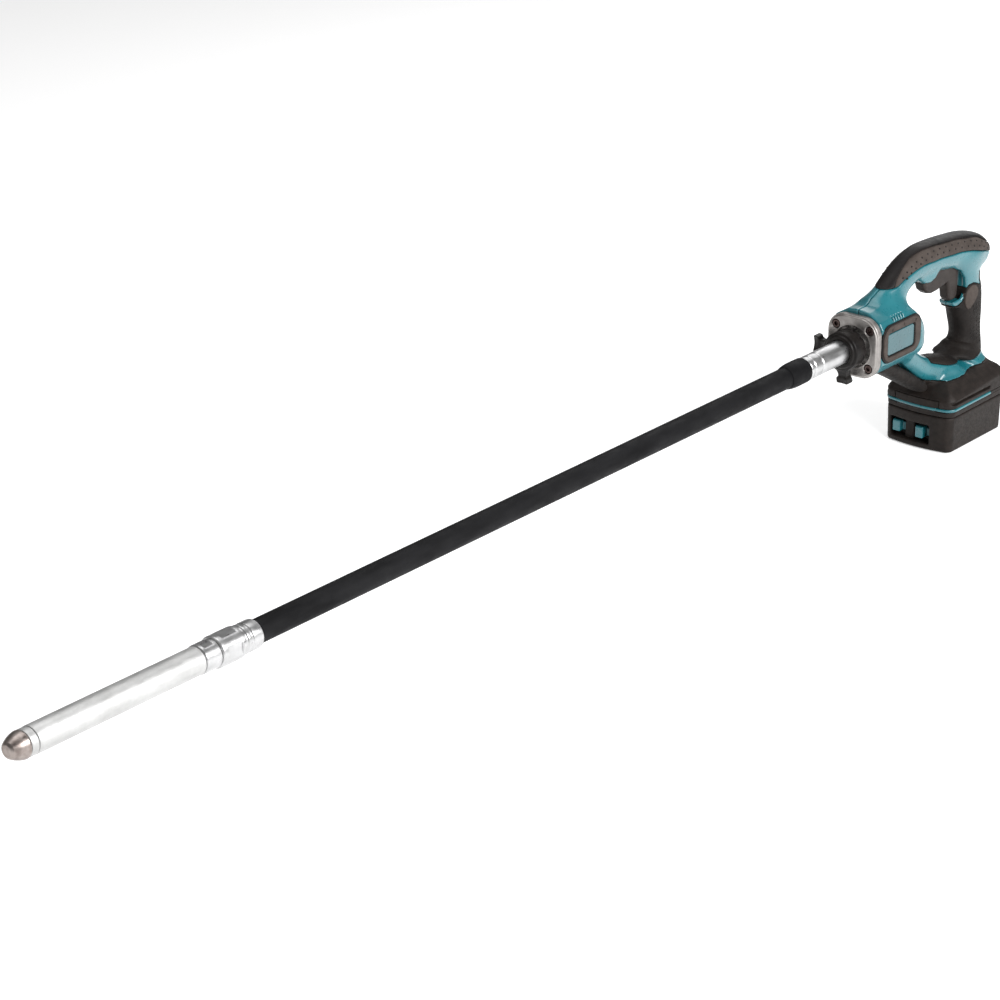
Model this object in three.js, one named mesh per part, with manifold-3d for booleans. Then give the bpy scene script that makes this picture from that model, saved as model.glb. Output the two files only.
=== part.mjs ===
// Cordless concrete vibrator: a battery motor unit with a D-handle drives an eccentric in a steel
// head through a flexible shaft. Millimetres. +X points forward along the shaft, +Y to the
// operator's left, +Z up. The origin is the centre of the battery's flat underside.
import * as THREE from "three";
import { mergeVertices } from "three/addons/utils/BufferGeometryUtils.js";
import Module from "manifold-3d";

const wasm = await Module();
wasm.setup();

// Driving dimensions.
const AXIS_HEIGHT = 152;
const FLANGE_FACE = 190;
const REACH = 1196;
const GAP = 0.3;
const FLANGE = { width: 62, height: 66, depth: 9, corner: 20 };
const SCREW_SQUARE = 41;
const SLEEVE = { start: 1.5, end: 89.7, radius: 12.5, bore: 8 };
const HOSE = { start: 90, end: 910.2, radius: 11, bore: 6.5 };
const CUFF_END = 122;
const HEAD = { ferrule: 910.5, adapter: 961.3, tube: 979.8, band: 1171, nose: 1179.3 };
const HEAD_RADIUS = 12.5;
const HEAD_BORE = 10;
const SHAFT_RADIUS = 4.5;
const BARREL = { rear: 85, front: 180.7, wall: 3 };
const COVER = 3;
const SHELL = 2.6;
const BATTERY = { halfLength: 52.5, halfWidth: 41.5, corner: 8, bow: 6, lower: 40, deck: 46.3 };
const FOOT = { halfLength: 54.5, halfWidth: 43, corner: 9, bow: 6 };
const RELEASE = { middle: -8.5, halfWidth: 25, bottom: 6, top: 28, floor: 43.5 };
const RIM = { bottom: 46.7, top: 50 };
const BLOCK = { rear: -40, halfWidth: 27, top: 58 };
const PIVOT = { x: 60, z: 194 };
const LOCK_Z = 167;
const SIDES = 22;
const SCREW_REACH = 6;
const HOUSING_SCREWS = [[143, 182, 12], [108, 201, 11.5], [-26, 186, 11], [100, 131, 24], [56, 90, 11.5]];

// Materials.
function material(color, roughness, metalness) {
  return new THREE.MeshStandardMaterial({ color, roughness, metalness });
}
const TEAL = material(0x12808f, 0.35, 0);
const ELASTOMER = material(0x1c1a19, 0.75, 0);
const BLACK_PLASTIC = material(0x26211f, 0.55, 0);
const HOSE_RUBBER = material(0x17171a, 0.7, 0);
const STEEL = material(0xa8a9aa, 0.35, 1);
const DARK_STEEL = material(0x5b4d45, 0.4, 1);
const BRIGHT_STEEL = material(0xd8dadb, 0.15, 1);
const CAST_ALUMINIUM = material(0xb4aeaa, 0.45, 1);
const COPPER = material(0xa0643a, 0.4, 1);
const CELL_WRAP = material(0x3f6f9c, 0.4, 0);

// ---- Solids ----------------------------------------------------------------------------------

// Six times the signed volume inside a triangle list.
function signedVolume(position, index) {
  let sum = 0;
  for (let i = 0; i < index.length; i += 3) {
    const [a, b, c] = [0, 1, 2].map((k) => new THREE.Vector3().fromArray(position, 3 * index[i + k]));
    sum += a.dot(b.cross(c));
  }
  return sum;
}

// A closed geometry as a manifold solid with its faces pointing out.
function solid(geometry) {
  const bare = geometry.clone();
  bare.deleteAttribute("normal");
  bare.deleteAttribute("uv");
  const merged = mergeVertices(bare, 1e-4);
  const position = merged.attributes.position.array;
  const index = [];
  for (let i = 0; i < merged.index.count; i += 3) {
    const [a, b, c] = [0, 1, 2].map((k) => merged.index.array[i + k]);
    if (a !== b && b !== c && a !== c) index.push(a, b, c);
  }
  if (signedVolume(position, index) < 0) index.reverse();
  const triVerts = new Uint32Array(index);
  return new wasm.Manifold(new wasm.Mesh({ numProp: 3, vertProperties: position, triVerts }));
}

// A round solid about the X axis from a profile of [x, radius] points.
function turned(profile, sides = SIDES) {
  const points = profile.map(([x, r]) => new THREE.Vector2(r, x));
  return solid(new THREE.LatheGeometry(points, sides).rotateZ(-Math.PI / 2));
}

// A straight pipe about the X axis.
function pipe(start, end, outer, inner, sides = SIDES) {
  return turned([[start, outer], [end, outer], [end, inner], [start, inner], [start, outer]], sides);
}

// A straight rod about the X axis.
function rod(start, end, radius, sides = SIDES) {
  return turned([[start, 0], [start, radius], [end, radius], [end, 0]], sides);
}

function block(x0, x1, y0, y1, z0, z1) {
  const box = new THREE.BoxGeometry(x1 - x0, y1 - y0, z1 - z0);
  return solid(box.translate((x0 + x1) / 2, (y0 + y1) / 2, (z0 + z1) / 2));
}

// A side view outline of [x, z] points, made halfWidth thick to both sides of y.
function plate(points, halfWidth, y = 0) {
  const shape = new THREE.Shape(points.map(([x, z]) => new THREE.Vector2(x, z)));
  const geometry = new THREE.ExtrudeGeometry(shape, { depth: 2 * halfWidth, bevelEnabled: false });
  return solid(geometry.rotateX(Math.PI / 2).translate(0, y + halfWidth, 0));
}

// A closed skin through rings with equal numbers of points, flat at both ends.
function loft(rings) {
  const sides = rings[0].length;
  const last = (rings.length - 1) * sides;
  const index = [];
  for (let start = 0; start < last; start += sides)
    for (let j = 0; j < sides; j++) {
      const a = start + j;
      const b = start + ((j + 1) % sides);
      index.push(a, b, b + sides, a, b + sides, a + sides);
    }
  for (let j = 1; j + 1 < sides; j++) {
    index.push(0, j + 1, j);
    index.push(last, last + j, last + j + 1);
  }
  const geometry = new THREE.BufferGeometry().setFromPoints(rings.flat());
  return solid(geometry.setIndex(index));
}

// One point of a rounded section: power 2 is an ellipse, and more is squarer.
function rounded(angle, power) {
  const [c, s] = [Math.cos(angle), Math.sin(angle)];
  const along = Math.sign(c) * Math.abs(c) ** (2 / power);
  const across = Math.sign(s) * Math.abs(s) ** (2 / power);
  return [along, across];
}

// A bar swept in the Y = 0 plane. Stations are [x, z, half depth in the plane, half width].
function sweep(stations, { shrink = 0, steps = 12, sides = 16, power = 2.4 } = {}) {
  const path = new THREE.CatmullRomCurve3(stations.map(([x, z]) => new THREE.Vector3(x, 0, z)));
  const sizes = new THREE.CatmullRomCurve3(stations.map(([, , d, w]) => new THREE.Vector3(d, w, 0)));
  const rings = [];
  for (let i = 0; i <= steps; i++) {
    const centre = path.getPoint(i / steps);
    const tangent = path.getTangent(i / steps);
    const size = sizes.getPoint(i / steps);
    const ring = [];
    for (let j = 0; j < sides; j++) {
      const [along, across] = rounded((2 * Math.PI * j) / sides, power);
      const depth = along * (size.x - shrink);
      const x = centre.x - tangent.z * depth;
      const z = centre.z + tangent.x * depth;
      ring.push(new THREE.Vector3(x, across * (size.y - shrink), z));
    }
    rings.push(ring);
  }
  return loft(rings);
}

function join(...solids) {
  return solids.reduce((a, b) => a.add(b));
}

function cut(from, ...tools) {
  return tools.reduce((a, b) => a.subtract(b), from);
}

// ---- Outlines of the motor unit --------------------------------------------------------------

const HANDLE_BAR = [
  [143, 175, 24, 15.5], [127, 188, 19.5, 14.5], [112, 200, 17, 14.5], [95, 208.5, 17, 14.5],
  [74, 213, 17.5, 15], [48, 213, 17.5, 15], [20, 210, 18.5, 15], [-10, 205.5, 19.5, 15],
  [-36, 199, 18.5, 14.5], [-54, 191, 13, 11], [-60, 188, 5, 5],
];
const REAR_GRIP = [
  [-21, 196, 27, 13.5], [-21, 176, 26.5, 13.5], [-22, 163, 25.5, 14], [-26, 150, 25, 15],
  [-29.5, 132, 21, 15.5], [-32.5, 112, 18.5, 14.5], [-33, 96, 18.5, 15], [-30, 84, 22, 19], [-26, 74, 28, 25],
];
const STRUT = [
  [128, 140, 17, 18], [104, 122, 14, 14], [80, 105, 12, 13], [56, 89, 12.5, 14], [30, 77, 11, 19],
  [10, 70, 8, 24],
];
const STRUT_BUMPER = [
  [150, 120, 7, 14], [124, 108.5, 8, 13], [98, 94, 8, 12], [74, 80, 7.5, 12.5], [57, 69, 6, 14],
];
// The lobe that holds the trigger's pivot, the chin under its finger rest, and the gap beside both.
const TRIGGER_LOBE = [
  [78, 206], [76, 196], [67, 190], [57, 188], [48, 190.5], [42, 196], [42, 206],
];
const TRIGGER_CHIN = [[12, 152], [11, 149.5], [6, 147.5], [-14, 147.5], [-14, 156], [-9, 156], [-4, 152]];
const TRIGGER_WINDOW = [
  [-5, 152], [-9, 156], [-11.5, 163], [-9.5, 176], [-2, 186], [12, 190.5], [28, 192.5], [42, 190],
  [42, 140], [30, 140], [30, 152],
];
const TRIGGER = [
  [66, 199], [65, 186], [61, 178], [55, 174], [47, 172], [36, 172.5], [24, 174.5], [17.5, 176],
  [15, 168], [13, 157], [8, 153], [0, 153], [-4, 157], [-5, 165], [-5, 180], [-3, 196], [28, 198],
  [52, 199],
];
const TRIGGER_SLOT = [
  [68.5, 204], [68.5, 140], [13, 140], [13, 152], [-10, 152], [-11.5, 158], [-11.5, 205.5], [40, 205.5],
];
const TOP_COVER = [
  [150, 201.5], [127, 201.5], [121, 204], [112, 207.5], [100, 210.3], [88, 212.5], [76, 213.5],
  [59, 212.8], [43, 212.2], [23, 210.3], [4, 208.5], [-18, 205], [-35, 200], [-56, 194], [-80, 184],
  [-80, 250], [150, 250],
];

// The barrel's half section, as [y, height above the shaft axis], from the top down.
const BARREL_HALF = [
  [0, 37], [13, 35.5], [20, 32], [27, 28], [31, 21], [31, 0], [31, -18], [26, -26], [20, -31], [9, -34],
  [0, -34],
];

function barrelRing(x, scale, shrink) {
  const right = BARREL_HALF.slice(1, -1).reverse().map(([y, z]) => [-y, z]);
  return BARREL_HALF.concat(right).map(([y, z]) => {
    const keep = scale * (1 - shrink / 32);
    return new THREE.Vector3(x, y * keep, AXIS_HEIGHT + z * keep);
  });
}

// The barrel narrows to a rounded rear end.
function barrel(shrink = 0, front = BARREL.front) {
  const rear = BARREL.rear + shrink;
  const ends = [[0, 0.62], [3, 0.78], [9, 0.91], [18, 0.98], [30, 1]];
  const rings = ends.map(([x, scale]) => barrelRing(rear + x, scale, shrink));
  return loft([...rings, barrelRing(front, 1, shrink)]);
}

// A level ring round the foot or battery: a rounded rectangle with its front edge bowed out.
function footRing(z, halfLength, halfWidth, corner, bow, middle = 0) {
  const ring = [];
  const quarters = [[1, 1, 0], [-1, 1, 1], [-1, -1, 2], [1, -1, 3]];
  for (const [sx, sy, quarter] of quarters)
    for (let step = 0; step <= 3; step++) {
      const angle = (Math.PI / 2) * (quarter + step / 3);
      const x = sx * (halfLength - corner) + corner * Math.cos(angle);
      const y = sy * (halfWidth - corner) + corner * Math.sin(angle);
      ring.push([x, y]);
    }
  ring.push([halfLength, -halfWidth / 3], [halfLength, 0], [halfLength, halfWidth / 3]);
  return ring.map(([x, y]) => {
    const bulge = x > halfLength / 2 ? bow * (1 - (y / halfWidth) ** 2) : 0;
    return new THREE.Vector3(x + bulge + middle, y, z);
  });
}

function batteryPrism(bottom, top, inset = 0) {
  const { halfLength, halfWidth, corner, bow } = BATTERY;
  const edge = 2;
  const low = footRing(bottom, halfLength - edge - inset, halfWidth - edge - inset, corner, bow);
  const [length, width] = [halfLength - inset, halfWidth - inset];
  const rings = [low, ...[bottom + edge, top].map((z) => footRing(z, length, width, corner, bow))];
  return loft(inset ? rings.slice(1) : rings);
}

// The outside of the foot, from the rim up to the shoulder.
function footShoulder() {
  const levels = [[50.3, 54.5, 43, 9, 6], [58, 54.5, 43, 9, 6], [63, 53, 41.5, 10, 5],
    [68, 50, 38.5, 12, 3], [71, 47.5, 36, 13, 2]];
  return loft(levels.map(([z, length, width, corner, bow]) => footRing(z, length, width, corner, bow, 0)));
}

// The teal saddle of the housing, which stands in the foot's black skirt.
function footSaddle(grow = 0) {
  const levels = [[50.3, 42, 32, 14], [70, 42, 32, 14], [77, 39, 29, 14], [83 + grow, 34, 25, 14]];
  return loft(levels.map(([z, length, width, corner]) =>
    footRing(z, length + grow, width + grow, corner + grow, 0, -4)));
}

// The channel under the foot that the battery's raised block slides into, open at the front.
function blockChannel() {
  const { rear, halfWidth, top } = BLOCK;
  return block(rear - 1, 70, -halfWidth - 0.6, halfWidth + 0.6, 40, top + 0.6);
}

// ---- Front of the motor unit: flange, collar and sleeve (X from the flange's front face) ------

function flange() {
  const { width, height, depth, corner } = FLANGE;
  const shape = new THREE.Shape();
  const [w, h, c] = [width / 2, height / 2, corner];
  shape.absarc(w - c, h - c, c, 0, Math.PI / 2);
  shape.absarc(c - w, h - c, c, Math.PI / 2, Math.PI);
  shape.absarc(c - w, c - h, c, Math.PI, 1.5 * Math.PI);
  shape.absarc(w - c, c - h, c, 1.5 * Math.PI, 2 * Math.PI);
  const bevel = { bevelThickness: 1.5, bevelSize: 1.5, bevelOffset: -1.5, bevelSegments: 1 };
  const settings = { depth: depth - 3, curveSegments: 5, ...bevel };
  const slab = new THREE.ExtrudeGeometry(shape, settings).translate(0, 0, 1.5 - depth);
  const body = solid(slab.rotateY(Math.PI / 2).rotateX(Math.PI / 2));
  const spigot = pipe(-20, -depth + 1, 22, 15.5);
  const bore = rod(-30, 1, 8.5);
  const recess = rod(-3, 1, 18);
  const seat = rod(-6, 1, SLEEVE.radius + GAP);
  const holes = cornerSpots().map(([y, z]) => screwHole().translate([0, y, z]));
  return cut(join(body, spigot), bore, recess, seat, ...holes);
}

function cornerSpots() {
  const h = SCREW_SQUARE / 2;
  return [[h, h], [-h, h], [-h, -h], [h, -h]];
}

function screwHole() {
  return join(rod(-24, 1, 2.9, 10), rod(-4.5, 1, 5, 14));
}

function flangeScrew() {
  const socket = rod(-2.6, 1, 2.3, 6);
  return cut(join(rod(-4.2, -0.2, 4.4, 14), rod(-20, -4.1, 2.5, 10)), socket);
}

// The hand-turned collar: a castellated ring with two arms that end in cross bars.
function lockCollar() {
  const ring = pipe(1.2, 15.5, 16.2, SLEEVE.radius + GAP, 32);
  const skirt = cut(pipe(1.2, 8, 17.6, SLEEVE.radius + GAP, 32), ...collarNotches());
  const arms = [armAlong(90), armAlong(180)];
  return join(ring, skirt, ...arms);
}

function collarNotches() {
  const notches = [];
  for (let angle = 15; angle < 360; angle += 30)
    notches.push(block(-1, 6.5, -1.8, 1.8, 16.4, 20).rotate([angle, 0, 0]));
  return notches;
}

// An arm that points along +Z, turned about the shaft axis.
function armAlong(degrees) {
  const stem = block(5, 12, -5, 5, 15, 35);
  const bar = block(3, 14, -8.5, 8.5, 32, 37);
  return join(stem, bar).rotate([degrees, 0, 0]);
}

function hoseSleeve() {
  const { start, end, radius, bore } = SLEEVE;
  const crimp = 0.6;
  const outside = [[start - 7, radius], [end - 20, radius], [end - 19, radius - crimp],
    [end - 17, radius - crimp], [end - 16, radius], [end - 9, radius], [end - 8, radius - crimp],
    [end - 6, radius - crimp], [end - 5, radius], [end, radius]];
  return turned([...outside, [end, bore], [start - 7, bore], outside[0]]);
}

// ---- Shaft, hose and head (X from the flange's front face) ------------------------------------

function hose() {
  const { start, end, radius, bore } = HOSE;
  const steps = 18;
  const outside = [];
  for (let i = 0; i <= steps; i++) outside.push([start + ((end - start) * i) / steps, radius]);
  return turned([...outside, [end, bore], [start, bore], outside[0]], 12);
}

function hoseCuff() {
  const [inner, outer] = [HOSE.radius + GAP, 13.2];
  const outside = [[HOSE.start, outer], [CUFF_END - 14, outer], [CUFF_END, inner + 0.5]];
  return turned([...outside, [CUFF_END, inner], [HOSE.start, inner], outside[0]]);
}

function ferrule() {
  const s = HEAD.ferrule;
  const outside = [[s, 13.4], [s + 11, 13.4], [s + 12, 12.2], [s + 14.5, 12.2], [s + 15.5, 13.4],
    [s + 18, 13.4], [s + 19, 12.2], [s + 21.5, 12.2], [s + 23, 14.6], [s + 50.5, 14.6]];
  const body = turned([...outside, [s + 50.5, 6.5], [s, 6.5], outside[0]]);
  return cut(body, ...flats(s + 26, s + 46, 13));
}

// Four wrench flats round the shaft axis.
function flats(start, end, distance) {
  return [0, 90, 180, 270].map((angle) =>
    block(start, end, -20, 20, distance, 20).rotate([angle, 0, 0]));
}

function headAdapter() {
  const s = HEAD.adapter;
  const body = pipe(s, HEAD.tube - GAP, 13.2, 6.5);
  return cut(body, block(s + 4, s + 15, -20, 20, 11.6, 20), block(s + 4, s + 15, -20, 20, -20, -11.6));
}

function headTube() {
  return pipe(HEAD.tube, HEAD.band - GAP, HEAD_RADIUS, HEAD_BORE, 32);
}

function noseBand() {
  return pipe(HEAD.band, HEAD.nose - GAP, HEAD_RADIUS - 0.4, 9);
}

function noseCap() {
  const s = HEAD.nose;
  const profile = [[s - 18, 0], [s - 18, 8.6], [s, 8.6]];
  const length = REACH - s;
  for (let i = 0; i <= 6; i++) {
    const t = i / 6;
    profile.push([s + length * t, HEAD_RADIUS * Math.sqrt(1 - (0.87 * t) ** 2.6)]);
  }
  profile.push([REACH, 0]);
  return turned(profile);
}

function headBearing(start) {
  return pipe(start, start + 7, HEAD_BORE - 0.2, 4.2, 20);
}

// A half-round weight between two round journals.
function eccentricRotor() {
  const [start, end] = [HEAD.tube + 0.5, HEAD.band - 12];
  const weight = cut(rod(start + 20, end - 12, 8.4, 20), block(start, end, -10, 10, 1.5, 12));
  return join(rod(start, end, 3.8, 16), weight);
}

function shaftSeal() {
  return pipe(HEAD.tube + 1.5, HEAD.tube + 6.5, HEAD_BORE - 0.2, 4.4, 20);
}

function flexibleShaft() {
  return rod(14.5, HEAD.tube + 0.2, SHAFT_RADIUS, 10);
}

// ---- Motor (X from the flange's front face) ---------------------------------------------------

function magnetYoke() {
  return cut(pipe(-84, -30, 26, 23), block(-50, -40, -3, 3, -30, -20));
}

// The wound core with its commutator on a shaft that reaches the coupling.
function armature() {
  const core = rod(-76, -40, 21.5, 24);
  const slots = [];
  for (let angle = 0; angle < 360; angle += 45)
    slots.push(block(-77, -39, -1.5, 1.5, 17, 23).rotate([angle, 0, 0]));
  return join(rod(-100, -1.2, 3.8, 16), cut(core, ...slots), rod(-91, -80, 9, 20));
}

function motorFan() {
  const blades = [];
  for (let angle = 0; angle < 360; angle += 40)
    blades.push(block(-28, -23, -0.8, 0.8, 7, 21).rotate([angle, 0, 0]));
  return join(pipe(-28.5, -22.5, 8, 4.1, 20), pipe(-23.5, -22.5, 21.5, 6, 24), ...blades);
}

function motorBearing(start, outer) {
  return pipe(start, start + 6, outer, 4.1, 20);
}

function brushHolder(side) {
  const holder = block(-90, -81, 9.6, 21, -4, 4);
  return side > 0 ? holder : holder.mirror([0, 1, 0]);
}

// The socket piece that carries the drive from the motor shaft to the flexible shaft.
function driveCoupling() {
  return join(pipe(-6, -0.9, 6.5, 4.1, 20), rod(-0.95, 14.2, 6.5, 20));
}

// ---- Housing and its covers -------------------------------------------------------------------

function coverRegion(grow) {
  return plate(TOP_COVER.map(([x, z]) => [x, z - grow]), 30);
}

function gripRegion(grow) {
  return block(-70, 40, -30, 30, 79.5 - grow, 149 + grow);
}

function outerHousing() {
  const bar = cut(sweep(HANDLE_BAR), coverRegion(GAP));
  const grip = cut(sweep(REAR_GRIP), gripRegion(GAP), skirtLevel());
  const lobe = plate(TRIGGER_LOBE, 11);
  const chin = cut(plate(TRIGGER_CHIN, 9), gripRegion(GAP));
  const strut = cut(sweep(STRUT), footBelow());
  const posts = cornerSpots().map(ribbedPost);
  const shells = join(barrel(), bar, grip, strut, footSaddle(), ...posts);
  const gripCore = cut(sweep(REAR_GRIP, { shrink: COVER + GAP }), skirtLevel());
  const cores = join(sweep(HANDLE_BAR, { shrink: COVER + GAP }), gripCore);
  const windowed = cut(join(shells, cores), plate(TRIGGER_WINDOW, 30), footBelow());
  return join(windowed, lobe, chin);
}

// A post inside the barrel's front corner that takes a flange screw, or the hole in it.
function flangePost([y, z], radius, front) {
  return rod(162, front, radius, 10).translate([0, y, AXIS_HEIGHT + z]);
}

// The post with the rib that ties it to the barrel's wall.
function ribbedPost([y, z]) {
  const [low, high] = y > 0 ? [y, y + 8] : [y - 8, y];
  const rib = block(162, BARREL.front, low, high, AXIS_HEIGHT + z - 2, AXIS_HEIGHT + z + 2);
  return join(flangePost([y, z], 5.5, BARREL.front), rib);
}

// Everything below the top edge of the foot's skirt.
function skirtLevel() {
  return block(-120, 120, -60, 60, 0, 71.3);
}

// Everything below the rim, which no part of the housing reaches.
function footBelow() {
  return block(-120, 120, -60, 60, 0, 50.3);
}

function housingCavity() {
  const inset = COVER + GAP + SHELL;
  const bar = sweep(HANDLE_BAR.slice(0, -2), { shrink: inset, steps: 9, sides: 12 });
  const grip = sweep(REAR_GRIP, { shrink: inset, steps: 8, sides: 12 });
  const motorRoom = barrel(BARREL.wall, BARREL.front + 5);
  return join(motorRoom, bar, grip);
}

function housingBoth() {
  const slot = plate(TRIGGER_SLOT, 7.3);
  const pin = pinHole(PIVOT.x, PIVOT.z, 2.2, 30);
  const terminals = block(-26, 30, -24, 24, 50, 66);
  const button = lockButtonShape(0.5, 12);
  const posts = cornerSpots().map(ribbedPost);
  const postHoles = cornerSpots().map((spot) => flangePost(spot, 2.9, BARREL.front + 5));
  const gripFront = block(-15, 40, -30, 30, 148, 191);
  const room = cut(housingCavity(), ...posts, gripFront);
  const whole = cut(outerHousing(), room, slot, pin, terminals, blockChannel(), button, ...postHoles);
  return cut(whole, ...HOUSING_SCREWS.map(housingScrewHole), ...badgeRecesses());
}

// A round hole or pin across the housing.
function pinHole(x, z, radius, halfWidth, y = 0) {
  const hole = rod(-halfWidth, halfWidth, radius, 12).rotate([0, 0, 90]);
  return hole.translate([x, y, z]);
}

function half(side, whole) {
  const near = GAP / 2;
  const [low, high] = side > 0 ? [near, 80] : [-80, -near];
  return whole.intersect(block(-200, 300, low, high, -10, 300));
}

function topCover() {
  const bar = sweep(HANDLE_BAR).intersect(coverRegion(0));
  const core = join(sweep(HANDLE_BAR, { shrink: COVER }), sweep(REAR_GRIP, { shrink: 0 }).intersect(
    block(-80, 80, -30, 30, 100, 200)));
  return cut(bar, core, cut(sweep(REAR_GRIP), coverRegion(GAP)), barrel(-GAP));
}

function gripCover() {
  const sleeve = sweep(REAR_GRIP).intersect(gripRegion(0));
  const core = sweep(REAR_GRIP, { shrink: COVER + GAP }).translate([GAP, 0, 0]);
  const grip = join(sweep(REAR_GRIP, { shrink: COVER }), core);
  const clear = join(grip, footSaddle(GAP), sweep(STRUT, { shrink: -GAP }));
  return cut(sleeve, clear, plate(TRIGGER_SLOT, 7.3), blockChannel());
}

function footSkirt() {
  const clear = join(footSaddle(GAP), sweep(STRUT, { shrink: -GAP }), sweep(REAR_GRIP, { shrink: -GAP }));
  return cut(footShoulder(), clear, blockChannel());
}

function strutBumper() {
  const clear = join(sweep(STRUT, { shrink: -GAP }), barrel(-GAP), grownShoulder());
  return cut(sweep(STRUT_BUMPER), clear);
}

function grownShoulder() {
  return join(footShoulder().translate([GAP, 0, GAP]), footShoulder());
}

// The frame of the blank nameplate and the plate inside it, on one side of the barrel.
function badgeOutline(halfLength, halfHeight, corner) {
  const shape = new THREE.Shape();
  const [l, h, c] = [halfLength, halfHeight, corner];
  shape.absarc(l - c, h - c, c, 0, Math.PI / 2);
  shape.absarc(c - l, h - c, c, Math.PI / 2, Math.PI);
  shape.absarc(c - l, c - h, c, Math.PI, 1.5 * Math.PI);
  shape.absarc(l - c, c - h, c, 1.5 * Math.PI, 2 * Math.PI);
  return shape;
}

function badgeSlab(halfLength, halfHeight, corner, y0, y1, side) {
  const settings = { depth: y1 - y0, bevelEnabled: false, curveSegments: 4 };
  const slab = new THREE.ExtrudeGeometry(badgeOutline(halfLength, halfHeight, corner), settings);
  const placed = solid(slab.rotateX(Math.PI / 2).translate(144.3, y1, AXIS_HEIGHT + 3));
  return side > 0 ? placed : placed.mirror([0, 1, 0]);
}

function badgeFrame(side) {
  return cut(badgeSlab(36, 20.3, 14, 29.9, 33, side), badgeSlab(25, 12, 5, 29, 34, side));
}

function badgePlate(side) {
  return badgeSlab(24.7, 11.7, 4.7, 29.9, 32, side);
}

function badgeRecesses() {
  return [1, -1].map((side) => badgeSlab(36.3, 20.6, 14.3, 29.6, 40, side));
}

// A screw from the right half into the left one: its head's face is depth to the right of Y = 0.
function housingScrew([x, z, depth]) {
  const head = pinHole(x, z, 3.1, 1.2, 1.2 - depth);
  const shankHalf = (depth - 2.3 + SCREW_REACH) / 2;
  const shank = pinHole(x, z, 1.45, shankHalf, SCREW_REACH - shankHalf);
  return cut(join(head, shank), pinHole(x, z, 1.3, 1, -depth));
}

function housingScrewHole([x, z, depth]) {
  const shankHalf = (depth + SCREW_REACH + GAP) / 2;
  const shank = pinHole(x, z, 1.75, shankHalf, SCREW_REACH + GAP - shankHalf);
  return join(shank, pinHole(x, z, 3.4, 10, 2.7 - depth - 10));
}

// ---- Trigger, switch and lock button ----------------------------------------------------------

function trigger() {
  const body = plate(TRIGGER, 6.6);
  return cut(body, pinHole(PIVOT.x, PIVOT.z, 2.3, 10), pinHole(PIVOT.x, PIVOT.z, 5.2, 2));
}

function triggerPin() {
  return pinHole(PIVOT.x, PIVOT.z, 1.9, 10.5);
}

function triggerSpring() {
  const coil = pipe(-1.6, 1.6, 4.7, 2.3, 16).rotate([0, 0, 90]);
  return coil.translate([PIVOT.x, 0, PIVOT.z]);
}

function switchBody() {
  return cut(block(-6, 26, -7, 7, 205.8, 214.6), plungerRod(205, 213.5, 3.4));
}

function plungerRod(bottom, top, radius) {
  return rod(bottom, top, radius, 12).rotate([0, -90, 0]).translate([15, 0, 0]);
}

function lockButtonShape(grow, depth) {
  const stem = rod(-48.5 - grow, -48.5 + depth, 5 + grow, 16).scale([1, 1, 1.8]);
  return stem.translate([0, 0, LOCK_Z]);
}

// ---- Battery and its holder -------------------------------------------------------------------

function railHolder() {
  const { halfLength, halfWidth, corner, bow } = FOOT;
  const levels = [RIM.bottom, RIM.top].map((z) =>
    footRing(z, halfLength - 0.6, halfWidth - 0.6, corner, bow));
  const opening = block(BLOCK.rear - 0.6, 70, -24.6, 24.6, 40, 60);
  return cut(loft(levels), opening);
}

function terminalBlock() {
  const blades = [-12, 0, 12].map((y) => block(-12, -4, y - 0.8, y + 0.8, 54, 61));
  return join(block(-24, -3, -18, 18, 60.5, 64), ...blades);
}

function batteryLower() {
  const inside = batteryPrism(3, BATTERY.lower + 5, 2.6);
  const shell = cut(batteryPrism(0, BATTERY.lower), inside);
  const { middle, floor, bottom, top } = RELEASE;
  const pocket = cut(releaseRoom(2.5), releaseRoom(0));
  const walled = join(shell, pocket.intersect(batteryPrism(0, BATTERY.lower)));
  const post = block(floor + 5.5, floor + 12.5, middle - 6, middle + 6, bottom - 1, top + 1);
  return join(cut(walled, releaseRoom(0)), post);
}

// The recess in the battery's front that the release button sits in.
function releaseRoom(grow) {
  const { middle, halfWidth, bottom, top, floor } = RELEASE;
  const reach = halfWidth + grow;
  return block(floor - grow, 75, middle - reach, middle + reach, bottom - grow, top + grow);
}

// The battery's upper case, with the raised block that the holder's lips grip.
function batteryUpper() {
  const { lower, deck } = BATTERY;
  const cover = batteryPrism(lower + GAP - 2, deck).intersect(block(-90, 90, -60, 60, lower + GAP, deck));
  const { rear, halfWidth, top } = BLOCK;
  const neck = block(rear, 70, -24, 24, deck - 1, RIM.top + 0.4);
  const head = block(rear, 70, -halfWidth, halfWidth, RIM.top + 0.35, top);
  const rails = join(neck, head).intersect(batteryPrism(30, 70));
  const hollow = batteryPrism(lower - 2, deck - 2.4, 2.6);
  const terminals = [-12, 0, 12].map((y) => block(-60, -3, y - 1.4, y + 1.4, 52, 70));
  const latchRoom = block(38, 50, -10.5, 10.5, 30, 70);
  return cut(join(cover, rails), hollow, ...terminals, latchRoom);
}

function batteryButton() {
  const { middle, floor } = RELEASE;
  const pads = [15.3, -15.3].map((y) =>
    block(floor + 3.5, floor + 11, middle + y - 8, middle + y + 8, 10.5, 24));
  const bar = block(floor + 1.5, floor + 4, middle - 20, middle + 20, 12, 21);
  return join(...pads, bar);
}

// One row of four cells, joined by the strips welded across their ends.
function cellRow(z) {
  const cells = [];
  for (let i = 0; i < 4; i++) {
    const cell = rod(-32.5, 32.5, 9, 14).rotate([0, 0, 90]);
    cells.push(cell.translate([-34 + 18.6 * i, 0, z]));
  }
  const strips = [-32.9, 32.4].map((y) => block(-37, 24, y, y + 0.5, z - 3, z + 3));
  return join(...cells, ...strips);
}

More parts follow.
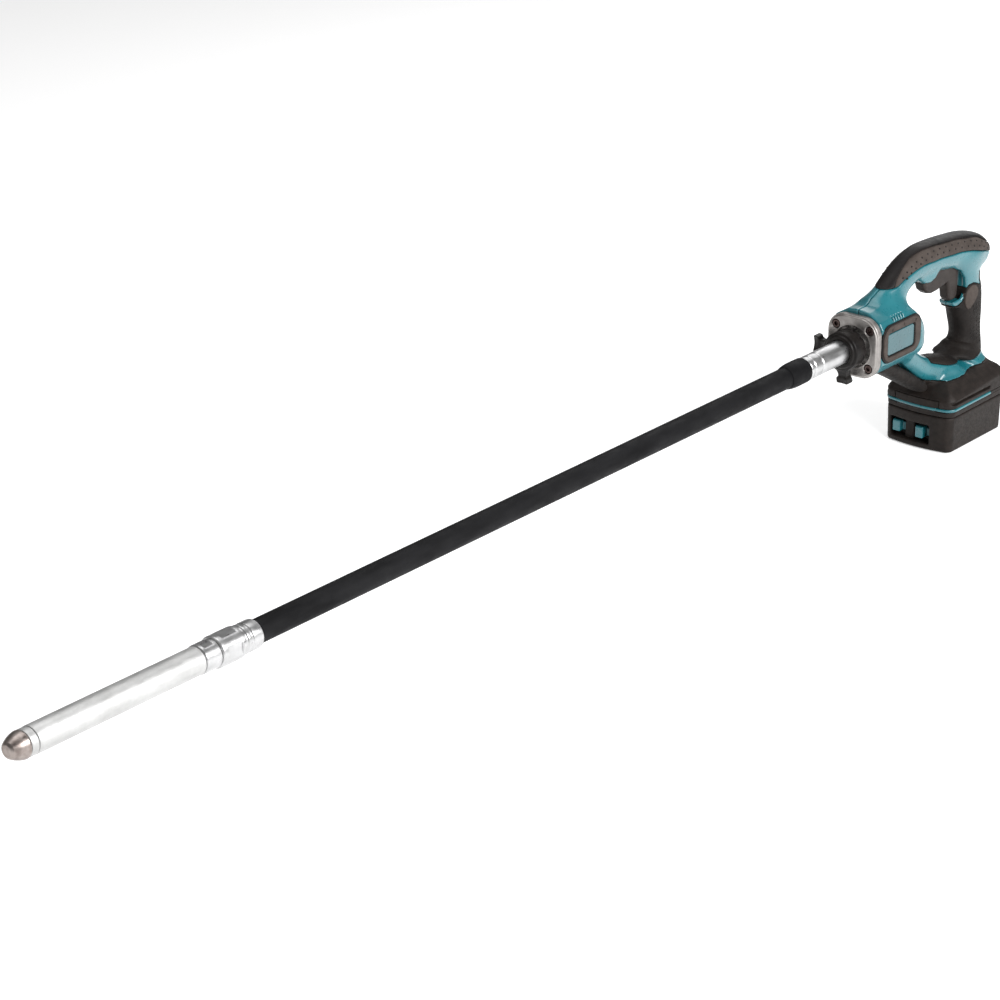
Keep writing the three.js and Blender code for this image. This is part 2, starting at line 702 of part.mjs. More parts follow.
// ---- Assembly ---------------------------------------------------------------------------------

function geometryOf(manifold) {
  const mesh = manifold.getMesh();
  const position = new THREE.BufferAttribute(new Float32Array(mesh.vertProperties), 3);
  const geometry = new THREE.BufferGeometry().setAttribute("position", position);
  geometry.setIndex(new THREE.BufferAttribute(mesh.triVerts, 1));
  geometry.computeVertexNormals();
  return geometry;
}

function addPiece(group, name, shape, look, position = [0, 0, 0]) {
  const mesh = new THREE.Mesh(geometryOf(shape), look);
  mesh.name = name;
  mesh.position.set(...position);
  group.add(mesh);
}

function driveLine() {
  const line = new THREE.Group();
  line.position.set(FLANGE_FACE, 0, AXIS_HEIGHT);
  addPiece(line, "front_flange", flange(), CAST_ALUMINIUM);
  cornerSpots().forEach(([y, z], i) =>
    addPiece(line, `flange_screw_${i + 1}`, flangeScrew(), DARK_STEEL, [0, y, z]));
  addPiece(line, "lock_collar", lockCollar(), BLACK_PLASTIC);
  addPiece(line, "hose_sleeve", hoseSleeve(), BRIGHT_STEEL);
  addPiece(line, "hose_cuff", hoseCuff(), HOSE_RUBBER);
  addPiece(line, "flexible_hose", hose(), HOSE_RUBBER);
  addPiece(line, "flexible_shaft", flexibleShaft(), STEEL);
  addPiece(line, "hose_ferrule", ferrule(), BRIGHT_STEEL);
  addPiece(line, "head_adapter", headAdapter(), BRIGHT_STEEL);
  addPiece(line, "head_tube", headTube(), STEEL);
  addPiece(line, "nose_band", noseBand(), STEEL);
  addPiece(line, "nose_cap", noseCap(), DARK_STEEL);
  addPiece(line, "head_bearing_rear", headBearing(HEAD.tube + 7), STEEL);
  addPiece(line, "head_bearing_front", headBearing(HEAD.band - 19), STEEL);
  addPiece(line, "shaft_seal", shaftSeal(), ELASTOMER);
  addPiece(line, "eccentric_rotor", eccentricRotor(), STEEL);
  addPiece(line, "drive_coupling", driveCoupling(), STEEL);
  addPiece(line, "armature", armature(), COPPER);
  addPiece(line, "motor_fan", motorFan(), BLACK_PLASTIC);
  addPiece(line, "motor_yoke", magnetYoke(), STEEL);
  addPiece(line, "motor_bearing_front", motorBearing(-17, 15.2), STEEL);
  addPiece(line, "motor_bearing_rear", motorBearing(-99, 9), STEEL);
  addPiece(line, "brush_holder_left", brushHolder(1), BLACK_PLASTIC);
  addPiece(line, "brush_holder_right", brushHolder(-1), BLACK_PLASTIC);
  return line;
}

function motorUnit() {
  const unit = new THREE.Group();
  const both = housingBoth();
  addPiece(unit, "housing_left", half(1, both), TEAL);
  addPiece(unit, "housing_right", half(-1, both), TEAL);
  addPiece(unit, "top_grip_cover", topCover(), ELASTOMER);
  addPiece(unit, "rear_grip_cover", gripCover(), ELASTOMER);
  addPiece(unit, "strut_bumper", strutBumper(), ELASTOMER);
  addPiece(unit, "foot_skirt", footSkirt(), ELASTOMER);
  addPiece(unit, "rail_holder", railHolder(), TEAL);
  addPiece(unit, "terminal_block", terminalBlock(), BLACK_PLASTIC);
  addPiece(unit, "badge_frame_left", badgeFrame(1), BLACK_PLASTIC);
  addPiece(unit, "badge_frame_right", badgeFrame(-1), BLACK_PLASTIC);
  addPiece(unit, "badge_plate_left", badgePlate(1), TEAL);
  addPiece(unit, "badge_plate_right", badgePlate(-1), TEAL);
  HOUSING_SCREWS.forEach((spot, i) =>
    addPiece(unit, `housing_screw_${i + 1}`, housingScrew(spot), DARK_STEEL));
  addPiece(unit, "trigger", trigger(), BLACK_PLASTIC);
  addPiece(unit, "trigger_pin", triggerPin(), STEEL);
  addPiece(unit, "trigger_spring", triggerSpring(), STEEL);
  addPiece(unit, "switch_body", switchBody(), BLACK_PLASTIC);
  addPiece(unit, "switch_plunger", plungerRod(197.6, 207.5, 3), BLACK_PLASTIC);
  addPiece(unit, "lock_button", lockButtonShape(0, 8), BLACK_PLASTIC);
  return unit;
}

function batteryPack() {
  const pack = new THREE.Group();
  addPiece(pack, "battery_case_lower", batteryLower(), BLACK_PLASTIC);
  addPiece(pack, "battery_case_upper", batteryUpper(), BLACK_PLASTIC);
  addPiece(pack, "battery_button", batteryButton(), TEAL);
  addPiece(pack, "cell_row_lower", cellRow(14.6), CELL_WRAP);
  addPiece(pack, "cell_row_upper", cellRow(33.4), CELL_WRAP);
  return pack;
}

const vibrator = new THREE.Group();
vibrator.add(driveLine(), motorUnit(), batteryPack());

export default vibrator;
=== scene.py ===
import math

import bmesh
import bpy
import numpy as np
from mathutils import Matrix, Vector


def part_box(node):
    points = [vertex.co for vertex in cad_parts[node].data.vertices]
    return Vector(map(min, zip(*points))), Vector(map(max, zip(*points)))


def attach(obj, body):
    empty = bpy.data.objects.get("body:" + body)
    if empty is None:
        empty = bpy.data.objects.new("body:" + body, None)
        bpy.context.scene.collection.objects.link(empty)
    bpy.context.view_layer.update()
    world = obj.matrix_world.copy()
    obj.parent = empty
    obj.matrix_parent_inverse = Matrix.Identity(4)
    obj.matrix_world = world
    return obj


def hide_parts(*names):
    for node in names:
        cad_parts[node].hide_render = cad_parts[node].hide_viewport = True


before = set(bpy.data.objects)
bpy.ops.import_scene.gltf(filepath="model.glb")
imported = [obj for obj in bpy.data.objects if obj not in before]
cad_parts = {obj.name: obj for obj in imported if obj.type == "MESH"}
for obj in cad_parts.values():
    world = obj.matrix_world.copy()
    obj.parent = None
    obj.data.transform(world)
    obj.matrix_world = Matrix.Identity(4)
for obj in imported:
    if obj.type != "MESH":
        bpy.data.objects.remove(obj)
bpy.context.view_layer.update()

import openvdb
from mathutils import Vector

MM = 0.001


def box_mm(node):
    """A CAD node's lowest and highest corners, in millimetres."""
    return [corner * 1000 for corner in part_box(node)]


def span(node):
    """Where a CAD node starts and ends along X, in millimetres."""
    low, high = box_mm(node)
    return low.x, high.x


AXIS_Z = (box_mm("head_tube")[0].z + box_mm("head_tube")[1].z) / 2
FLANGE_X = span("front_flange")[1]


# ---- Camera, floor and lights ----

CAMERA = {"azimuth": 128.81, "elevation": 22.43, "distance": 3.248, "lens": 125.8}
LOOK_AT = Vector((0.7188, -0.0398, 0.1405))


def add_object(name, data):
    thing = bpy.data.objects.new(name, data)
    bpy.context.scene.collection.objects.link(thing)
    return thing


def look_along(thing, place, direction):
    """Puts a camera or a lamp in its place, looking along a direction."""
    thing.location = place
    thing.rotation_mode = "QUATERNION"
    thing.rotation_quaternion = direction.to_track_quat("-Z", "Y")


def make_camera():
    data = bpy.data.cameras.new("camera")
    data.lens = CAMERA["lens"]
    data.clip_end = 100
    camera = add_object("camera", data)
    around = math.radians(CAMERA["azimuth"])
    above = math.radians(CAMERA["elevation"])
    level = math.cos(above)
    back = Vector((math.sin(around) * level, -math.cos(around) * level, math.sin(above)))
    look_along(camera, LOOK_AT + back * CAMERA["distance"], -back)
    bpy.context.scene.camera = camera


def make_floor():
    mesh = bpy.data.meshes.new("floor")
    half = 30
    corners = [(-half, -half, 0), (half, -half, 0), (half, half, 0), (-half, half, 0)]
    mesh.from_pydata(corners, [], [(0, 1, 2, 3)])
    floor = add_object("floor", mesh)
    look, _, shader = new_material("floor_white", (0.9, 0.9, 0.9), 0.9, shine=0.1)
    feed(shader, {"Emission Color": (1, 1, 1, 1), "Emission Strength": 0.35})
    mesh.materials.append(look)
    floor.location.z = -0.0005


def make_light(name, place, aim, size, power):
    data = bpy.data.lights.new(name, "AREA")
    data.shape = "RECTANGLE"
    data.size, data.size_y = size
    data.energy = power
    look_along(add_object(name, data), place, Vector(aim) - Vector(place))


def make_lighting():
    world = bpy.data.worlds.new("studio")
    bpy.context.scene.world = world
    world.use_nodes = True
    feed(world.node_tree.nodes["Background"], {"Color": (1, 1, 1, 1), "Strength": 0.22})
    bpy.context.scene.view_settings.view_transform = "Standard"
    make_light("key", (0.5, 2.4, 1.5), (0.5, 0, 0.12), (2.6, 0.9), 120)
    make_light("top", (0.6, -0.4, 2.6), (0.6, 0, 0.1), (3.0, 1.6), 34)
    make_light("rim", (-1.6, -0.6, 1.0), (0.1, 0, 0.15), (1.2, 1.2), 10)


# ---- Materials ----

def feed(node, values):
    """Sets a node's inputs by name."""
    for name, value in values.items():
        node.inputs[name].default_value = value


def new_material(name, color, roughness, metallic=0.0, shine=0.5):
    """A material with one Principled shader, its node tree and that shader."""
    look = bpy.data.materials.new(name)
    look.use_nodes = True
    tree = look.node_tree
    shader = tree.nodes["Principled BSDF"]
    feed(shader, {"Base Color": (*color, 1), "Roughness": roughness, "Metallic": metallic,
                  "Specular IOR Level": shine})
    return look, tree, shader


def place_in(tree, stretch=(1, 1, 1)):
    """The point being shaded, in metres, with each axis scaled."""
    source = tree.nodes.new("ShaderNodeTexCoord")
    mapping = tree.nodes.new("ShaderNodeMapping")
    feed(mapping, {"Scale": stretch})
    tree.links.new(source.outputs["Object"], mapping.inputs["Vector"])
    return mapping.outputs["Vector"]


def noise(tree, scale, detail=3.0, stretch=(1, 1, 1)):
    """Noise from 0 to 1; scale is in cycles per metre."""
    node = tree.nodes.new("ShaderNodeTexNoise")
    feed(node, {"Scale": scale, "Detail": detail})
    tree.links.new(place_in(tree, stretch), node.inputs["Vector"])
    return node.outputs["Fac"]


NOISE_LOW, NOISE_HIGH = 0.3, 0.7


def remap(tree, value, low, high):
    """A number from low to high as a noise goes over its usual range."""
    node = tree.nodes.new("ShaderNodeMapRange")
    feed(node, {"From Min": NOISE_LOW, "From Max": NOISE_HIGH, "To Min": low, "To Max": high})
    tree.links.new(value, node.inputs["Value"])
    return node.outputs["Result"]


def tint(tree, shader, value, dark, light):
    """Colours the shader from dark to light as a noise goes over its usual range."""
    ramp = tree.nodes.new("ShaderNodeValToRGB")
    for end, at, color in zip(ramp.color_ramp.elements, (NOISE_LOW, NOISE_HIGH), (dark, light)):
        end.position = at
        end.color = (*color, 1)
    tree.links.new(value, ramp.inputs["Fac"])
    tree.links.new(ramp.outputs["Color"], shader.inputs["Base Color"])


def emboss(tree, shader, value, depth, strength):
    """Bump, with depth in metres."""
    bump = tree.nodes.new("ShaderNodeBump")
    feed(bump, {"Distance": depth, "Strength": strength})
    tree.links.new(value, bump.inputs["Height"])
    if shader.inputs["Normal"].is_linked:
        before = shader.inputs["Normal"].links[0].from_socket
        tree.links.new(before, bump.inputs["Normal"])
    tree.links.new(bump.outputs["Normal"], shader.inputs["Normal"])


MATTE = 0.15


def mottled(name, patches, dark, light, grain, roughness, bumps=(), metallic=0.0, shine=0.5):
    """A material mottled from dark to light, whose roughness varies over a finer grain.

    Patches and grain are noises: a scale in cycles per metre, then a detail and a stretch.
    Each bump is a noise, its depth in metres and its strength.
    """
    look, tree, shader = new_material(name, light, roughness[1], metallic, shine)
    tint(tree, shader, noise(tree, *patches), dark, light)
    tree.links.new(remap(tree, noise(tree, *grain), *roughness), shader.inputs["Roughness"])
    for texture, depth, strength in bumps:
        emboss(tree, shader, noise(tree, *texture), depth, strength)
    return look, tree, shader


def moulded(name, patches, dark, light, grain, roughness, texture, depth, strength=0.5):
    """A matte moulding, embossed with a fine texture that is so many metres deep."""
    bumps = [(texture, depth, strength)]
    return mottled(name, patches, dark, light, grain, roughness, bumps, shine=MATTE)[0]


def metal(name, patches, dark, light, grain, roughness, *bumps):
    return mottled(name, patches, dark, light, grain, roughness, bumps, metallic=1.0)[0]


def teal_plastic(name="teal_plastic", dark=(0.005, 0.100, 0.122), light=(0.008, 0.128, 0.152)):
    bumps = [((2600, 2), 0.00003, 0.35)]
    look, _, shader = mottled(name, (28,), dark, light, (160, 5), (0.24, 0.36), bumps)
    feed(shader, {"Coat Weight": 0.5, "Coat Roughness": 0.28})
    return look


def nameplate_teal():
    return teal_plastic("nameplate_teal", (0.003, 0.055, 0.068), (0.005, 0.072, 0.086))


def crown_rubber():
    return moulded("crown_rubber", (40,), (0.005, 0.0045, 0.0045), (0.011, 0.009, 0.0085),
                   (220, 5), (0.42, 0.56), (3200, 2), 0.00005)


def band_rubber():
    return moulded("band_rubber", (90, 6), (0.038, 0.030, 0.026), (0.062, 0.050, 0.044),
                   (400, 4), (0.6, 0.8), (2400, 3), 0.0001, 0.6)


def grip_rubber():
    return moulded("grip_rubber", (70, 6), (0.007, 0.0055, 0.005), (0.015, 0.012, 0.0105),
                   (300, 5), (0.5, 0.72), (1500, 4), 0.00015, 0.7)


def dark_plastic():
    """Spark-eroded nylon of the battery and the foot."""
    return moulded("dark_plastic", (120, 6), (0.009, 0.007, 0.006), (0.019, 0.0145, 0.0125),
                   (500, 4), (0.42, 0.6), (2000, 3), 0.00012, 0.6)


def black_nylon():
    return moulded("black_nylon", (90, 5), (0.005, 0.0045, 0.0045), (0.012, 0.010, 0.009),
                   (350, 4), (0.32, 0.5), (1800, 3), 0.00008)


def trigger_plastic():
    return moulded("trigger_plastic", (110, 5), (0.018, 0.014, 0.0125), (0.030, 0.024, 0.021),
                   (600, 3), (0.38, 0.52), (2600, 2), 0.00005)


def hose_rubber():
    """Wrapped rubber: faint turns of the curing tape, dust and fine pores."""
    look, tree, shader = mottled("hose_rubber", (60, 6, (0.3, 1, 1)), (0.004, 0.004, 0.0045),
                                 (0.011, 0.011, 0.012), (130, 5, (0.4, 1, 1)), (0.5, 0.75), shine=0.08)
    wraps = tree.nodes.new("ShaderNodeTexWave")
    wraps.wave_profile = "SAW"
    feed(wraps, {"Scale": 9, "Distortion": 1.2, "Detail": 2})
    tree.links.new(place_in(tree, (1, 0.5, 0.5)), wraps.inputs["Vector"])
    emboss(tree, shader, wraps.outputs["Fac"], 0.0004, 0.5)
    emboss(tree, shader, noise(tree, 900, 5), 0.0002, 0.6)
    return look


def satin_steel():
    """The worn, blasted steel of the head: mottled, with fine scratches along it."""
    return metal("satin_steel", (45, 8, (0.6, 1, 1)), (0.46, 0.46, 0.455), (0.64, 0.64, 0.635),
                 (220, 8), (0.44, 0.62), ((600, 6), 0.0002, 0.7), ((300, 4, (0.05, 6, 6)), 0.00004, 0.4))


def nose_steel():
    return metal("nose_steel", (130, 8), (0.20, 0.165, 0.150), (0.42, 0.37, 0.345),
                 (300, 6), (0.28, 0.48), ((900, 6), 0.0001, 0.5))


def polished_steel():
    return metal("polished_steel", (60, 6), (0.44, 0.44, 0.44), (0.60, 0.60, 0.605),
                 (260, 6, (0.4, 1, 1)), (0.26, 0.4), ((400, 3, (0.3, 1, 1)), 0.00001, 0.2))


def cast_aluminium():
    return metal("cast_aluminium", (150, 8), (0.25, 0.235, 0.225), (0.38, 0.36, 0.345),
                 (420, 5), (0.38, 0.56), ((1300, 5), 0.00012, 0.6))


def dark_steel():
    return metal("dark_steel", (300, 5), (0.06, 0.043, 0.04), (0.13, 0.095, 0.088),
                 (700, 4), (0.3, 0.5))


def copper_winding():
    look, tree, shader = new_material("copper_winding", (0.5, 0.24, 0.12), 0.35, 0.9)
    tint(tree, shader, noise(tree, 400, 5), (0.38, 0.16, 0.07), (0.60, 0.30, 0.15))
    emboss(tree, shader, noise(tree, 700, 3, (0.1, 4, 4)), 0.0002, 0.7)
    return look


def cell_wrap():
    return mottled("cell_wrap", (80, 3), (0.045, 0.14, 0.27), (0.06, 0.18, 0.33), (300, 3), (0.25, 0.4))[0]


# ---- Solids from fields ----

class Grid:
    """Sample points on a box, in millimetres, as x, y and z arrays that broadcast together.

    Aside is how far they are from the middle plane.
    """

    def __init__(self, low, high, cell):
        margin = 3 * cell
        self.low = np.array(low, float) - margin
        counts = np.ceil((np.array(high, float) + margin - self.low) / cell).astype(int) + 1
        self.cell = cell
        self.shape = tuple(counts)
        steps = [self.low[i] + cell * np.arange(counts[i]) for i in range(3)]
        self.x = steps[0][:, None, None].astype(np.float32)
        self.y = steps[1][None, :, None].astype(np.float32)
        self.z = steps[2][None, None, :].astype(np.float32)
        self.aside = np.abs(self.y)


def both(a, b, soft=0.0):
    """What is in a and in b, with an edge rounded by about soft."""
    return -either(-a, -b, soft)


def either(a, b, soft=0.0):
    """What is in a or in b, with a fillet of about soft."""
    if soft == 0:
        return np.minimum(a, b)
    mix = np.clip(0.5 + 0.5 * (b - a) / soft, 0, 1)
    return b * (1 - mix) + a * mix - soft * mix * (1 - mix)


def without(a, b, soft=0.0):
    """What is in a and not in b."""
    return both(a, -b, soft)


def smooth_path(stations, samples=360):
    """Points of a Catmull-Rom curve through the stations."""
    inner = np.array(stations, float)
    points = np.vstack([2 * inner[0] - inner[1], inner, 2 * inner[-1] - inner[-2]])
    along = np.linspace(0, len(inner) - 1 - 1e-6, samples)
    first = along.astype(int)
    t = (along - first)[:, None]
    a, b, c, d = (points[first + k] for k in range(4))
    return b + 0.5 * t * (c - a + t * (2 * a - 5 * b + 4 * c - d + t * (3 * b - a - 3 * c + d)))


def swept(grid, stations, shrink=0.0, power=2.4, tip=6.0):
    """A bar along a path in the Y = 0 plane. Stations are x, z, half depth, half width."""
    path = smooth_path(stations)
    tangent = np.gradient(path[:, :2], axis=0)
    lengths = np.hypot(tangent[:, 0], tangent[:, 1])
    along = np.concatenate(([0], np.cumsum((lengths[1:] + lengths[:-1]) / 2)))
    order, last = np.arange(len(path)), len(path) - 1
    x, z = grid.x[:, 0, 0], grid.z[0, 0, :]
    columns = np.arange(len(z))
    offset, number, beyond = (np.empty((len(x), len(z)), np.float32) for _ in range(3))
    for i, here in enumerate(x):
        dx = here - path[:, 0][:, None]
        dz = z[None, :] - path[:, 1][:, None]
        near = np.argmin(dx * dx + dz * dz, axis=0)
        ahead = dx[near, 0] * tangent[near, 0] + dz[near, columns] * tangent[near, 1]
        ahead = np.clip(ahead / lengths[near] ** 2, -0.5, 0.5)
        at = np.clip(near + ahead, 0, last)
        away_x = here - np.interp(at, order, path[:, 0])
        away_z = z - np.interp(at, order, path[:, 1])
        unit_x, unit_z = tangent[near, 0] / lengths[near], tangent[near, 1] / lengths[near]
        offset[i] = np.abs(away_x * unit_z - away_z * unit_x)
        passed = np.interp(at, order, along) + away_x * unit_x + away_z * unit_z
        beyond[i] = np.maximum(-passed, passed - along[-1])
        number[i] = at
    sizes = [np.interp(number, order, path[:, k]) - shrink for k in (2, 3)]
    depth, width = (size.astype(np.float32)[:, None, :] for size in sizes)
    section = section_field(offset[:, None, :], depth, grid.aside, width, power)
    return both(section, beyond[:, None, :] + shrink, tip)


def section_field(u, half_u, v, half_v, power):
    """Distance-like field of a superellipse: power 2 is an ellipse, and more is squarer."""
    reach = ((u / half_u) ** power + (v / half_v) ** power) ** (1 / power)
    away = np.maximum(np.sqrt(u * u + v * v), 0.01)
    return away * (1 - 1 / np.maximum(reach, 0.001))


def outline(u, v, corners, round_by=0.0):
    """Signed distance from the points (u, v) to a polygon, negative inside, corners rounded."""
    nearest = np.float32(1e9)
    inside = False
    ends = corners[1:] + corners[:1]
    for (u0, v0), (u1, v1) in zip(corners, ends):
        du, dv = u1 - u0, v1 - v0
        t = np.clip(((u - u0) * du + (v - v0) * dv) / (du * du + dv * dv), 0, 1)
        nearest = np.minimum(nearest, (u - u0 - t * du) ** 2 + (v - v0 - t * dv) ** 2)
        if dv != 0:
            inside = inside ^ (((v0 > v) != (v1 > v)) & (u < du * (v - v0) / dv + u0))
    return np.where(inside, -1, 1) * np.sqrt(nearest) - round_by


def rounded_rectangle(u, v, half_u, half_v, corner):
    """Signed distance from the points (u, v) to a rectangle about the origin, corners rounded."""
    q_u = np.abs(u) - (half_u - corner)
    q_v = np.abs(v) - (half_v - corner)
    outside = np.sqrt(np.maximum(q_u, 0) ** 2 + np.maximum(q_v, 0) ** 2)
    return outside + np.minimum(np.maximum(q_u, q_v), 0) - corner


def between(along, low, high):
    """A slab between two heights along one axis."""
    return np.maximum(low - along, along - high)


def rounded_box(grid, low, high, radius):
    """A box with rounded edges."""
    reach = 0.0
    deepest = np.float32(-1e9)
    for axis, a, b in zip((grid.x, grid.y, grid.z), low, high):
        q = np.abs(axis - (a + b) / 2) - ((b - a) / 2 - radius)
        reach = reach + np.maximum(q, 0) ** 2
        deepest = np.maximum(deepest, q)
    return np.sqrt(reach) + np.minimum(deepest, 0) - radius


def level_line(x, points):
    """The height at x of a smooth line through points, which are sorted by x."""
    path = smooth_path(points)
    return np.interp(x, path[:, 0], path[:, 1]).astype(np.float32)


def skin(name, grid, field, look, body="body"):
    """The surface where the field is zero, as a piece."""
    level = np.clip(np.broadcast_to(field, grid.shape) / grid.cell, -3, 3)
    volume = openvdb.FloatGrid(3.0)
    volume.copyFromArray(np.ascontiguousarray(level, dtype=np.float32))
    points, quads = volume.convertToQuads(0.0)
    points = (np.array(points, float) * grid.cell + grid.low) * MM
    return piece_from(name, points, turned_out(points, np.array(quads)), look, body)


def turned_out(points, quads):
    """The same faces, all facing out."""
    a, b, c, d = (points[quads[:, k]] for k in range(4))
    volume = (a * np.cross(b, c)).sum() + (a * np.cross(c, d)).sum()
    return quads if volume > 0 else quads[:, ::-1]


def piece_from(name, points, faces, look, body="body"):
    mesh = bpy.data.meshes.new(name)
    mesh.from_pydata(points, [], faces)
    mesh.validate()
    mesh.shade_smooth()
    mesh.materials.append(look)
    piece = add_object(name, mesh)
    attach(piece, body)
    return piece


def relax(piece, rounds=2):
    """Smooths away the grid's steps."""
    smooth = piece.modifiers.new("relax", "SMOOTH")
    smooth.factor = 0.5
    smooth.iterations = rounds
    return piece


def stand_in(node, name, grid, field, look, body="body", rounds=2):
    """The skin of a field, relaxed, in a CAD node's place."""
    piece = skin(name, grid, field, look, body)
    if rounds:
        relax(piece, rounds)
    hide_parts(node)


# ---- Turned pieces on the drive axis ----

def filleted(profile, radius, steps=3):
    """A profile of (x, radius) points with each inner corner rounded."""
    made = [profile[0]]
    for before, corner, after in zip(profile, profile[1:], profile[2:]):
        back, on = Vector(before) - Vector(corner), Vector(after) - Vector(corner)
        reach = min(radius, back.length / 2.1, on.length / 2.1)
        start = Vector(corner) + back.normalized() * reach
        end = Vector(corner) + on.normalized() * reach
        for k in range(steps + 1):
            t = k / steps
            made.append(tuple(start * (1 - t) ** 2 + Vector(corner) * 2 * t * (1 - t) + end * t * t))
    made.append(profile[-1])
    return made


def turned(node, name, profile, look, round_by=0.4, sides=72):
    """A closed solid turned about the drive axis, in a CAD node's place.

    A profile that ends off the axis closes on itself.
    """
    profile = filleted(profile, round_by)
    points, faces = [], []
    for x, radius in profile:
        for y, z in spots_round(sides, radius):
            points.append((x * MM, y * MM, (AXIS_Z + z) * MM))
    rings = len(profile)
    on_axis = profile[0][1] == 0
    for ring in range(rings - 1 if on_axis else rings):
        above = (ring + 1) % rings
        for k in range(sides):
            turn = (k + 1) % sides
            a, b = ring * sides + k, ring * sides + turn
            faces.append((a, b, above * sides + turn, above * sides + k))
    piece = piece_from(name, points, faces, look)
    tidy_mesh(piece)
    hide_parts(node)
    return piece


def spots_round(count, radius, shift=0.0):
    """Points spaced evenly round a circle, shifted by a share of their spacing."""
    turns = [2 * math.pi * (k + shift) / count for k in range(count)]
    return [(radius * math.cos(turn), radius * math.sin(turn)) for turn in turns]


def tidy_mesh(piece):
    """Merges doubled points, drops empty faces and turns every face out."""
    mesh = bmesh.new()
    mesh.from_mesh(piece.data)
    bmesh.ops.remove_doubles(mesh, verts=mesh.verts, dist=1e-7)
    bmesh.ops.dissolve_degenerate(mesh, dist=1e-8, edges=mesh.edges)
    bmesh.ops.recalc_face_normals(mesh, faces=mesh.faces)
    mesh.to_mesh(piece.data)
    mesh.free()
    piece.data.shade_smooth()


HOSE_RADIUS = 11.0
SLEEVE_RADIUS = 12.5


def make_hose(look):
    """The free hose, on one straight line from the motor's sleeve to the head's ferrule."""
    start, end = span("flexible_hose")
    data = bpy.data.curves.new("hose", "CURVE")
    data.dimensions = "3D"
    data.bevel_depth = HOSE_RADIUS * MM
    data.bevel_resolution = 14
    data.use_fill_caps = True
    spline = data.splines.new("POLY")
    count = 40
    spline.points.add(count - 1)
    for i, point in enumerate(spline.points):
        x = start + (end - start) * i / (count - 1)
        point.co = (x * MM, 0, AXIS_Z * MM, 1)
    data.materials.append(look)
    hose = add_object("hose", data)
    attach(hose, "body")
    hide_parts("flexible_hose")


def make_cuff(look):
    """The hose's end, swaged up over the sleeve's barbs."""
    start, end = span("hose_cuff")
    inner, swell = HOSE_RADIUS + 0.3, 13.2
    outside = [(start, 12.2), (start + 0.9, swell - 0.1), (start + 6, swell), (start + 20, swell),
               (start + 27, 12.6)]
    profile = [(start, inner)] + outside + [(end, inner + 0.25), (end, inner)]
    turned("hose_cuff", "hose_end_cuff", profile, look, round_by=1.2)


def make_sleeve(look):
    """The motor's hose sleeve, with two crimp grooves near its end."""
    start, end = span("hose_sleeve")
    r, crimp, bore, bevel = SLEEVE_RADIUS, 0.75, 8, 0.8
    outside = [(start, r)]
    for back in (22, 8.5):
        groove = end - back
        outside += [(groove, r), (groove + 1.0, r - crimp), (groove + 3.0, r - crimp), (groove + 4.0, r)]
    profile = [(start, bore)] + outside + [(end - bevel, r), (end, r - bevel), (end, bore)]
    turned("hose_sleeve", "sleeve", profile, look, round_by=0.5)


def with_flats(piece, start, end, distance, angles):
    """Presses flat faces into a round piece, between start and end along X."""
    for vertex in piece.data.vertices:
        x = vertex.co.x / MM
        if start <= x <= end:
            for angle in angles:
                normal = Vector((0, math.cos(angle), math.sin(angle)))
                height = (vertex.co - Vector((0, 0, AXIS_Z * MM))).dot(normal)
                if height > distance * MM:
                    vertex.co -= normal * (height - distance * MM)


def ringed(profile, start, end, step=1.0):
    """Adds rings between start and end so that flats can be pressed there."""
    made = []
    for (x0, r0), (x1, r1) in zip(profile, profile[1:]):
        made.append((x0, r0))
        if x1 > x0 and r1 == r0:
            count = int((min(x1, end) - max(x0, start)) / step)
            made += [(max(x0, start) + step * k, r0) for k in range(1, count)]
    return made + [profile[-1]]


FITTING_BORE = 6.5


def make_ferrule(look):
    """The hose's swaged end: two crimp necks, then a collar with four flats."""
    start, end = span("hose_ferrule")
    r, neck, collar = 13.4, 12.3, 14.6
    steps = [(0, r - 0.8), (0.8, r), (11.5, r), (12.5, neck), (14.5, neck), (15.5, r), (18, r),
             (19, neck), (21, neck), (22.6, collar)]
    outside = [(start + along, radius) for along, radius in steps]
    outside += [(end - 1.2, collar), (end, collar - 1)]
    profile = [(start, FITTING_BORE)] + ringed(outside, start + 24, end - 3) + [(end, FITTING_BORE)]
    ferrule = turned("hose_ferrule", "ferrule", profile, look, round_by=0.35)
    with_flats(ferrule, start + 26, end - 6, 13, [k * math.pi / 2 for k in range(4)])


def make_adapter(look):
    """The threaded adapter, with a pair of spanner flats."""
    start, end = span("head_adapter")
    r = 13.2
    outside = [(start, r - 0.6), (start + 0.6, r), (end - 0.7, r), (end, r - 0.7)]
    profile = [(start, FITTING_BORE)] + ringed(outside, start + 2, end - 2, 0.7) + [(end, FITTING_BORE)]
    adapter = turned("head_adapter", "adapter", profile, look, round_by=0.2)
    with_flats(adapter, start + 4, start + 15, 11.6, [math.pi / 2, -math.pi / 2])


HEAD_RADIUS = 12.5


def make_head(steel, nose_look):
    """The head's tube, the band ahead of it and the nose."""
    for node, name, bore, r, slope, drop, round_by in (
            ("head_tube", "head_shell", 10, HEAD_RADIUS, 0.8, 0.6, 0.3),
            ("nose_band", "head_band", 9, HEAD_RADIUS - 0.3, 0.5, 0.5, 0.25)):
        start, end = span(node)
        tube = [(start, bore), (start, r - drop), (start + slope, r), (end - 0.5, r), (end, r - 0.5),
                (end, bore)]
        turned(node, name, tube, steel, round_by=round_by)
    make_nose(nose_look)


